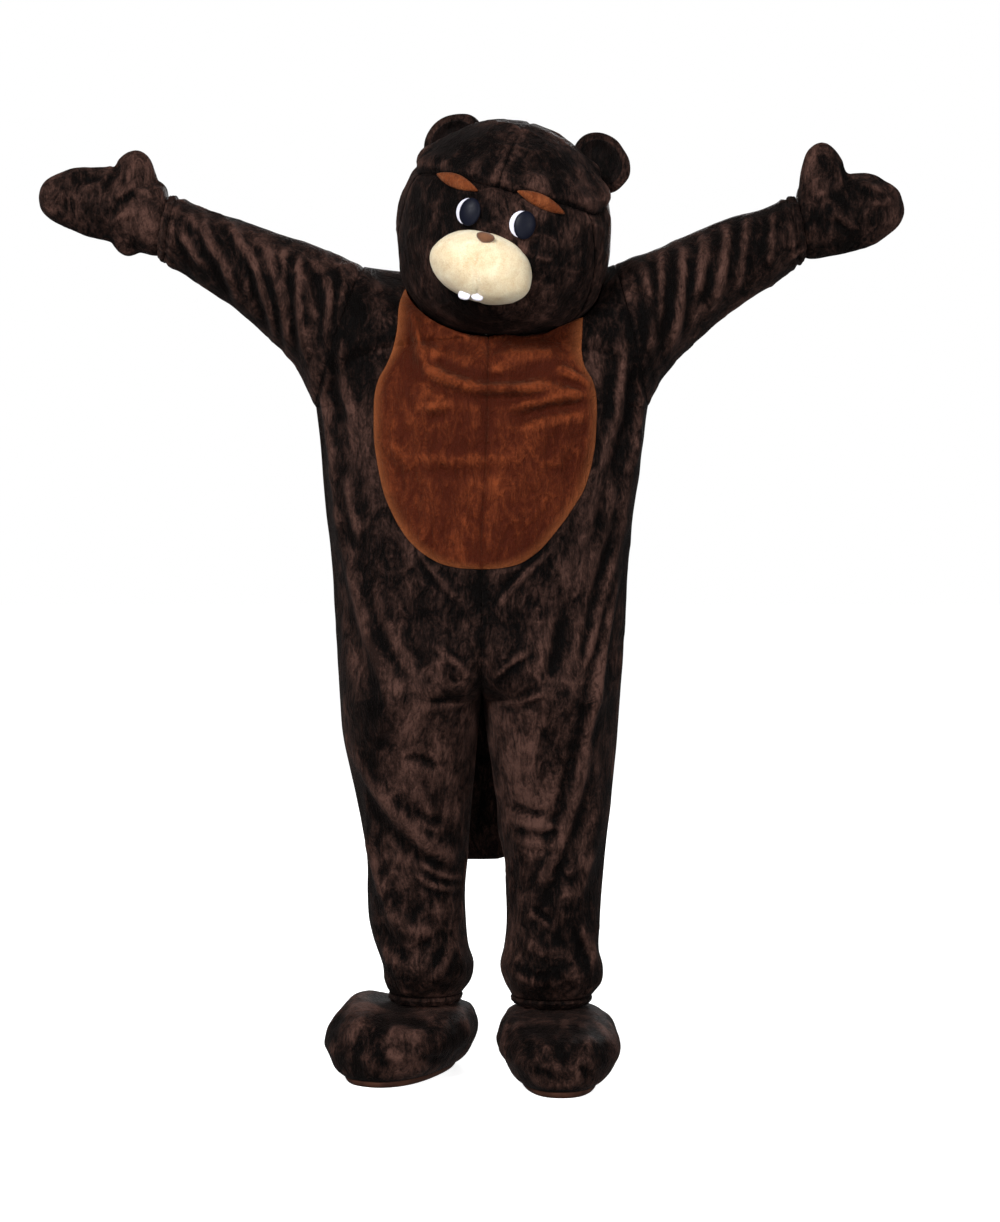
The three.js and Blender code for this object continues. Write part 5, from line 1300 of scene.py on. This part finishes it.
def make_eyes_and_brows(white_look, black_look, brow_look):
    """Domed eyes on white plates, and leaf-shaped plush brows over them."""
    for side_name, side in SIDES.items():
        face_pad("eye_white", side_name, "plate", white_look)
        face_pad("eye_pupil", side_name, "dome", black_look)
        made = face_pad("brow", side_name, "plush", brow_look, BROW_POINTED, BROW_TURN[side], True)


# how far behind the head's middle, half sizes, the lining's share of them, and the dish's depth
EAR = {"behind": 66, "half": (60, 15, 50), "lining": 0.74, "dish": 13.0}
EARS = {
    LEFT: {"aside": math.radians(45), "reach": 209},
    RIGHT: {"aside": math.radians(39.5), "reach": 223},
}


def there_and_back(count):
    """Shares from the middle out to the rim and back, 1 on the front and -1 behind."""
    out = np.linspace(0.02, 1, count)
    return (np.concatenate([out, out[::-1][1:]])[:, None],
            np.concatenate([np.ones(count), -np.ones(count - 1)])[:, None])


def ear_place(side, flat, lift):
    """Points of an ear laid flat, turned and carried to the ear's place on the head."""
    aside, reach = EARS[side]["aside"], EARS[side]["reach"]
    radial = HEAD_UP * math.cos(aside) + HEAD_RIGHT * side * math.sin(aside)
    centre = HEAD_CENTRE + HEAD_BACK * EAR["behind"] + radial * math.sqrt(reach ** 2 - EAR["behind"] ** 2)
    cos, sin = math.cos(side * aside), math.sin(side * aside)
    turned = np.stack([flat[..., 0] * cos + flat[..., 2] * sin, flat[..., 1],
                       -flat[..., 0] * sin + flat[..., 2] * cos], axis=-1)
    return out_of_head(in_head(turned) + centre, lift)


def make_ears(plush, shaded_lining_look):
    """Round ears: a stuffed rim, thick as sqrt(1 - share^2), round a dished front whose lining is
    darker plush: painted shade in the ear's hollow."""
    angle = (np.arange(96) / 96 * 2 * np.pi)[None]
    wide, deep, tall = EAR["half"]
    for side_name, side in SIDES.items():
        share, front = there_and_back(34)
        rim = np.sqrt(clamp(1 - share ** 2)) * deep
        dish = EAR["dish"] * smooth(0.82, 0.45, share)
        y = np.where(front > 0, -rim + dish, rim) + 0 * angle
        flat = np.stack([np.cos(angle) * share * wide, y, np.sin(angle) * share * tall], axis=-1)
        soft = lumps(flat, 24, 2.8 + side)
        pinch = np.cos(5 * angle + 1.4) * smooth(0.3, 0.9, share) * 0.8
        flat = flat + soft[..., None] * (1.6, 2.2, 1.6) + (pinch * front)[..., None] * (0, 1.6, 0)
        made = closed_piece(f"ear_{side_name}_plush", ear_place(side, flat, 1.0),
                            [f"ear_{side_name}"], plush)
        share, front = there_and_back(20)
        within = share * EAR["lining"]
        dish = EAR["dish"] * smooth(0.82, 0.45, within) - np.sqrt(clamp(1 - within ** 2)) * deep
        y = dish - 1.6 - front * 0.9 * np.sqrt(clamp(1 - share ** 4)) + 0 * angle
        flat = np.stack([np.cos(angle) * within * wide, y, np.sin(angle) * within * tall], axis=-1)
        flat = flat + lumps(flat, 24, 2.8 + side)[..., None] * (0.6, 2.2, 0.6)
        # the lining's darker plush is painted shade in the ear's hollow
        made = closed_piece(f"ear_inner_{side_name}_plush", ear_place(side, flat, 2.4),
                            [f"ear_inner_{side_name}"], shaded_lining_look)


# ------------------------------------------------------------------ back zip
ZIP = {"half": 10.6, "thick": 1.5, "bottom": 906, "top": 1404, "slider": 1378}
# the teeth's spacing, half sizes across, out and up, how far out of and beside the seam each
# one's middle lies, and how far the row keeps from the slider's middle
ZIP_TOOTH = {"pitch": 1.7, "half": (2.1, 0.9, 0.62), "out": 2.9, "beside": 0.8, "clear": 11}


def seam_place(side, level, away):
    """The panel's u at a distance from the centre back seam: the distance over |dP/du|."""
    step = 1e-3
    rate = body_point(side, BACK, step, level) - body_point(side, BACK, 0.0, level)
    return away * step / np.linalg.norm(rate, axis=-1)


def make_zip_tapes(look):
    """Two tapes sewn along the centre back."""
    levels = np.linspace(ZIP["bottom"], ZIP["top"], 150)[:, None]
    away = np.linspace(0.25, ZIP["half"], 12)[None]
    for side_name, side in SIDES.items():
        u = seam_place(side, levels, away)
        level = levels + 0 * away
        weave = 0.12 * np.cos(away * 2.2) + 0 * level
        outer = panel_points(side, BACK, u, level, SEAM + ZIP["thick"] + weave)
        points, faces = wall(outer, panel_points(side, BACK, u, level, SEAM))
        node = f"zip_tape_{side_name}"
        made = piece(f"{node}_weave", points, faces, [node], look)


def make_zip_teeth(look):
    """A row of small boxes up the centre back, by turns a little left and right of the seam."""
    places = np.arange(ZIP["bottom"] + 3, ZIP["top"] - 2, ZIP_TOOTH["pitch"])
    places = places[np.abs(places - ZIP["slider"]) > ZIP_TOOTH["clear"]]
    side = np.where(np.arange(len(places)) % 2, RIGHT, LEFT)
    foot = body_point(RIGHT, BACK, 0.0, places)
    out = body_normal(RIGHT, BACK, 0.02, places)
    up = body_point(RIGHT, BACK, 0.0, places + 1) - body_point(RIGHT, BACK, 0.0, places - 1)
    up /= np.linalg.norm(up, axis=-1, keepdims=True)
    right = np.cross(up, out) * -1
    corner = np.array([(i, j, k) for i in (-1, 1) for j in (-1, 1) for k in (-1, 1)], float)
    wide, deep, tall = ZIP_TOOTH["half"]
    middle = foot + out * ZIP_TOOTH["out"] + right * (side * ZIP_TOOTH["beside"])[:, None]
    points = (middle[:, None] + right[:, None] * corner[None, :, :1] * wide
              + out[:, None] * corner[None, :, 1:2] * deep + up[:, None] * corner[None, :, 2:] * tall)
    box = np.array([(0, 1, 3, 2), (4, 6, 7, 5), (0, 4, 5, 1), (2, 3, 7, 6), (0, 2, 6, 4), (1, 5, 7, 3)])
    faces = (np.arange(len(places))[:, None, None] * 8 + box[None]).reshape(-1, 4)
    piece("zip_teeth", points, faces, [], look)


# ------------------------------------------------------------------ materials
def socket(node, name, value):
    """Sets a node's own value for one of its inputs."""
    node.inputs[name].default_value = value


class Look:
    """A node material being put together: object coordinates, noises, mixes and one shader."""

    def __init__(self, name):
        self.material = bpy.data.materials.new(name)
        self.material.use_nodes = True
        self.tree = self.material.node_tree
        self.shader = self.tree.nodes["Principled BSDF"]
        self.place = self.tree.nodes.new("ShaderNodeTexCoord").outputs["Object"]

    def link(self, out, into):
        """Joins an output to an input."""
        self.tree.links.new(out, into)

    def mapped(self, scale, lean=0.0):
        """Object coordinates, stretched and leaned about Y."""
        node = self.tree.nodes.new("ShaderNodeMapping")
        socket(node, "Scale", scale)
        socket(node, "Rotation", (0, lean, 0))
        self.link(self.place, node.inputs["Vector"])
        return node.outputs["Vector"]

    def noise(self, scale, detail=2.0, rough=0.5, stretch=(1, 1, 1), distortion=0.0, lean=0.0):
        """A noise over the piece, from 0 to 1."""
        node = self.tree.nodes.new("ShaderNodeTexNoise")
        socket(node, "Scale", scale)
        socket(node, "Detail", detail)
        socket(node, "Roughness", rough)
        socket(node, "Distortion", distortion)
        self.link(self.mapped(stretch, lean), node.inputs["Vector"])
        return node.outputs["Fac"]

    def mark(self, name):
        """A named number that the mesh has for each point."""
        node = self.tree.nodes.new("ShaderNodeAttribute")
        node.attribute_name = name
        return node.outputs["Fac"]

    def ranged(self, value, low, high, to_low=0.0, to_high=1.0):
        """The value's way from low to high, laid from to_low to to_high and held there."""
        node = self.tree.nodes.new("ShaderNodeMapRange")
        for key, number in (("From Min", low), ("From Max", high), ("To Min", to_low), ("To Max", to_high)):
            socket(node, key, number)
        self.link(value, node.inputs["Value"])
        return node.outputs["Result"]

    def mixed(self, share, a, b):
        """Colour a where the share is 0, b where it is 1."""
        node = self.tree.nodes.new("ShaderNodeMix")
        node.data_type = "RGBA"
        for key, value in (("A", a), ("B", b)):
            spot = [i for i in node.inputs if i.name == key and i.type == "RGBA"][0]
            if isinstance(value, tuple):
                spot.default_value = (*value, 1)
            else:
                self.link(value, spot)
        self.link(share, node.inputs["Factor"])
        return [o for o in node.outputs if o.type == "RGBA"][0]

    def reckoned(self, operation, a, b):
        """A sum or product of two values."""
        node = self.tree.nodes.new("ShaderNodeMath")
        node.operation = operation
        self.link(a, node.inputs[0])
        self.link(b, node.inputs[1])
        return node.outputs[0]

    def sum(self, *values):
        """The values added up."""
        total = values[0]
        for value in values[1:]:
            total = self.reckoned("ADD", total, value)
        return total

    def squared(self, value):
        """The value times itself."""
        return self.reckoned("MULTIPLY", value, value)

    def bump(self, height, distance, strength, under=None):
        """A normal tilted by a height, on top of another bump where one lies under it."""
        node = self.tree.nodes.new("ShaderNodeBump")
        socket(node, "Distance", distance)
        socket(node, "Strength", strength)
        self.link(height, node.inputs["Height"])
        if under is not None:
            self.link(under, node.inputs["Normal"])
        return node.outputs["Normal"]

    def finish(self, colour, normal=None, rough=None, **constants):
        """Joins what is given to the shader, sets its constants and returns the material."""
        for value, name in ((colour, "Base Color"), (rough, "Roughness"), (normal, "Normal")):
            if value is not None:
                self.link(value, self.shader.inputs[name])
        for key, value in constants.items():
            socket(self.shader, key.replace("_", " "), value)
        return self.material


# how tall the pile's unevenness stands, in metres
PILE = {"patches": 0.008, "tufts": 0.0018, "hairs": 0.0007}


def plush_look(name, dark, light, sheen, sheen_tint, rim=None):
    """Short dense pile: brushed patches lighter and darker than their neighbours, a painted
    highlight on the ridges of the folds and painted shade in their bottoms, fine tufts in the
    bump, and a soft sheen."""
    look = Look(name)
    brushed = look.noise(11, 3, 0.6, (1, 1, 0.45), 0.8)
    patches = look.noise(40, 4, 0.7, (1, 1, 0.6), 1.4)
    strokes = look.noise(64, 4, 0.7, (1, 1, 0.3), 1.8, 0.7)
    tufts = look.noise(330, 3, 0.7, (1, 1, 0.6))
    hairs = look.noise(1500, 2, 0.6, (1, 1, 0.35))
    nap = look.ranged(look.sum(brushed, patches, strokes, look.ranged(tufts, 0, 1, 0, 0.5)), 1.5, 2.08)
    # the crest mark brings painted light: paler fold ridges and thighs, and painted shade in fold bottoms,
    # on the flanks and on the head's left side
    share = look.sum(look.ranged(nap, 0, 1, 0.0, 0.95),
                     look.ranged(look.mark("crest"), -1, 1, -0.42, 0.5))
    colour = look.mixed(look.squared(look.ranged(share, 0.0, 1.15)), dark, light)
    # the rim colour is a painted sheen highlight along the patch's edge; the seam line is darkened
    if rim is not None:
        colour = look.mixed(look.ranged(look.mark("rim"), 0.15, 1.0, 0, 0.85), colour, rim)
        colour = look.mixed(look.ranged(look.mark("seam_line"), 0.2, 1.0, 0, 0.6), colour, dark)
    ground = look.bump(look.sum(patches, strokes), PILE["patches"], 0.9)
    tufted = look.bump(tufts, PILE["tufts"], 0.9, ground)
    normal = look.bump(hairs, PILE["hairs"], 0.8, tufted)
    return look.finish(colour, normal, Roughness=0.55, Specular_IOR_Level=0.05, Sheen_Weight=sheen,
                       Sheen_Roughness=0.3, Sheen_Tint=(*sheen_tint, 1))


def fleece_look():
    """Cream fleece: fine curls over soft patches, a little light passing into it."""
    look = Look("cream_fleece")
    soft = look.noise(40, 3, 0.6, (1, 1, 1), 0.5)
    curls = look.noise(420, 3, 0.7)
    colour = look.mixed(look.ranged(look.sum(soft, curls), 0.75, 1.25), (0.66, 0.50, 0.30),
                        (0.84, 0.74, 0.53))
    normal = look.bump(curls, 0.0016, 0.9, look.bump(soft, 0.004, 0.6))
    return look.finish(colour, normal, Roughness=0.85, Specular_IOR_Level=0.2, Sheen_Weight=0.35,
                       Sheen_Roughness=0.5, Sheen_Tint=(1.0, 0.95, 0.85, 1), Subsurface_Weight=0.4,
                       Subsurface_Radius=(1.0, 0.85, 0.7), Subsurface_Scale=0.03)


def felt_look(name, dark, light):
    """Pressed felt: fine fibres, without gloss."""
    look = Look(name)
    fibres = look.noise(900, 3, 0.6)
    colour = look.mixed(look.ranged(look.sum(look.noise(60, 2), fibres), 0.8, 1.25), dark, light)
    return look.finish(colour, look.bump(fibres, 0.0006, 0.7), Roughness=0.85, Specular_IOR_Level=0.2,
                       Sheen_Weight=0.3, Sheen_Roughness=0.5)


def moulded_look(name, colour, shine, roughness):
    """Moulded plastic with a faint haze that darkens and roughens it."""
    look = Look(name)
    haze = look.noise(180, 3, 0.6)
    tone = look.mixed(look.ranged(haze, 0.3, 0.7), colour, tuple(c * 0.82 for c in colour))
    rough = look.ranged(haze, 0.2, 0.8, roughness * 0.8, roughness * 1.25)
    return look.finish(tone, look.bump(haze, 0.0002, 0.3), rough, Specular_IOR_Level=shine)


def rubber_look():
    """Brown rubber, paler in patches rubbed by wear, with a fine grit."""
    look = Look("sole_rubber")
    wear = look.noise(30, 4, 0.65)
    grit = look.noise(700, 3, 0.6)
    colour = look.mixed(look.ranged(wear, 0.35, 0.7), (0.032, 0.011, 0.006), (0.085, 0.031, 0.017))
    normal = look.bump(grit, 0.0005, 0.6, look.bump(wear, 0.001, 0.3))
    return look.finish(colour, normal, look.ranged(grit, 0.2, 0.8, 0.55, 0.8), Specular_IOR_Level=0.2)


def tape_look():
    """Dark woven tape, its rows closer across than along."""
    look = Look("zip_tape_weave")
    rows = look.noise(1300, 1, 0.5, (0.3, 1, 1))
    colour = look.mixed(look.ranged(rows, 0.35, 0.65), (0.018, 0.011, 0.009), (0.045, 0.028, 0.022))
    return look.finish(colour, look.bump(rows, 0.0003, 0.8), Roughness=0.8)


def metal_look():
    """Dull brown metal with a haze."""
    look = Look("zip_antique_metal")
    haze = look.noise(400, 4, 0.6)
    colour = look.mixed(look.ranged(haze, 0.3, 0.7), (0.1, 0.085, 0.07), (0.32, 0.28, 0.23))
    rough = look.ranged(haze, 0.2, 0.8, 0.25, 0.5)
    return look.finish(colour, look.bump(haze, 0.0002, 0.4), rough, Metallic=0.9)


# ------------------------------------------------------------------ room
# where each soft light stands and what it is aimed at in metres, its side and its watts
LIGHTS = {
    "key": {"place": (-1.9, -4.1, 1.9), "aim": (0, 0, -0.35), "side": 1.1, "watts": 250},
    "fill": {"place": (2.6, -3.5, 0.7), "aim": (0, 0, -0.5), "side": 1.6, "watts": 70},
    "low": {"place": (0.1, -3.9, -1.1), "aim": (0, 0, -0.9), "side": 1.6, "watts": 34},
    "rear": {"place": (0.9, 4.2, 1.2), "aim": (0, 0, -0.3), "side": 1.8, "watts": 80},
}
FLOOR = {"half": 30.0, "glow": 0.84}
# the surround's strength where the camera sees it, and as light on the costume
SURROUND = {"seen": 1.0, "light": 0.2}


def area_light(name, place, aim, side, watts):
    """A soft square light at a place, turned to face what it is aimed at."""
    data = bpy.data.lights.new(name, "AREA")
    data.shape = "SQUARE"
    data.size = side
    data.energy = watts
    made = placed(name, data)
    made.location = place
    direction = np.array(aim, float) - place
    pitch = math.acos(-direction[2] / np.linalg.norm(direction))
    made.rotation_euler = (pitch, 0, math.atan2(-direction[0], direction[1]))


def make_floor():
    """A wide pale floor that glows a little, so that it runs into the surround unseen."""
    mesh = bpy.data.meshes.new("floor")
    corners = [(x * FLOOR["half"], y * FLOOR["half"], -SHOULDER_HEIGHT / 1000)
               for x, y in ((-1, -1), (1, -1), (1, 1), (-1, 1))]
    mesh.from_pydata(corners, [], [(0, 1, 2, 3)])
    floor = placed("floor", mesh)
    look = Look("pale_floor")
    tone = look.mixed(look.noise(3, 2), (0.93, 0.93, 0.93), (0.95, 0.95, 0.95))
    mesh.materials.append(look.finish(tone, Roughness=0.9, Specular_IOR_Level=0.1,
                                      Emission_Color=(1, 1, 1, 1), Emission_Strength=FLOOR["glow"]))
    floor.visible_diffuse = False
    floor.visible_glossy = False


def make_surround():
    """White all round, brighter to the camera than to the costume."""
    world = bpy.data.worlds.new("studio")
    world.use_nodes = True
    nodes, links = world.node_tree.nodes, world.node_tree.links
    seen = nodes.new("ShaderNodeLightPath").outputs["Is Camera Ray"]
    strength = nodes.new("ShaderNodeMapRange")
    socket(strength, "To Min", SURROUND["light"])
    socket(strength, "To Max", SURROUND["seen"])
    links.new(seen, strength.inputs["Value"])
    links.new(strength.outputs["Result"], nodes["Background"].inputs["Strength"])
    socket(nodes["Background"], "Color", (1, 1, 1, 1))
    bpy.context.scene.world = world


def make_room():
    """The floor, the surround and soft lights in front, low down and behind."""
    make_floor()
    make_surround()
    for name, light in LIGHTS.items():
        area_light(name, **light)
    bpy.context.scene.view_settings.view_transform = "Standard"
    bpy.context.scene.view_settings.look = "None"


CAMERA = {"lens": 70.6, "sensor": 36, "place": (0.028, -4.5, -0.470), "down": 1.79}


def make_camera():
    """At the height of the belly, 4.5 m in front, looking slightly down."""
    data = bpy.data.cameras.new("camera")
    data.lens = CAMERA["lens"]
    data.sensor_width = CAMERA["sensor"]
    data.sensor_fit = "AUTO"
    made = placed("camera", data)
    made.location = CAMERA["place"]
    made.rotation_euler = (math.radians(90 - CAMERA["down"]), 0, 0)
    bpy.context.scene.camera = made


# ------------------------------------------------------------------ the whole costume
make_camera()
make_room()
chocolate = plush_look("chocolate_plush", dark=(0.0008, 0.0003, 0.0002), light=(0.088, 0.043, 0.033),
                       sheen=0.045, sheen_tint=(0.62, 0.44, 0.40))
# rim: a lighter colour for a painted sheen highlight along the patch's edge
rust = plush_look("rust_plush", dark=(0.048, 0.0075, 0.0025), light=(0.185, 0.040, 0.0125),
                  sheen=0.09, sheen_tint=(1.0, 0.5, 0.3), rim=(0.27, 0.082, 0.028))
brow_plush = plush_look("brow_plush", dark=(0.13, 0.03, 0.009), light=(0.30, 0.088, 0.03),
                        sheen=0.12, sheen_tint=(1.0, 0.6, 0.4))
# a darker copy of the chocolate plush: painted shade in the ears' hollows
shaded_ear_lining = plush_look("ear_lining_plush", dark=(0.0008, 0.0005, 0.0004), light=(0.02, 0.011, 0.0095),
                         sheen=0.06, sheen_tint=(0.5, 0.4, 0.38))
make_panels(chocolate)
make_patch(rust)
make_sleeves(chocolate)
make_ankle_hems(chocolate)
make_mittens(chocolate)
make_feet(chocolate, rubber_look())
make_tail(chocolate)
metal = metal_look()
make_zip_tapes(tape_look())
make_zip_teeth(metal)
for node in ("zip_slider", "zip_pull_tab"):
    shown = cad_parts[node]
    shown.data.materials.clear()
    shown.data.materials.append(metal)
make_head(chocolate)
nose_felt = felt_look("nose_felt", dark=(0.1, 0.04, 0.018), light=(0.18, 0.075, 0.035))
tooth_felt = felt_look("tooth_felt", dark=(0.72, 0.7, 0.8), light=(0.86, 0.85, 0.93))
make_muzzle(fleece_look(), nose_felt, tooth_felt)
eye_white = moulded_look("eye_white_plastic", (0.74, 0.73, 0.84), shine=0.5, roughness=0.35)
eye_black = moulded_look("eye_black_plastic", (0.004, 0.005, 0.012), shine=0.1, roughness=0.45)
make_eyes_and_brows(eye_white, eye_black, brow_plush)
make_ears(chocolate, shaded_ear_lining)
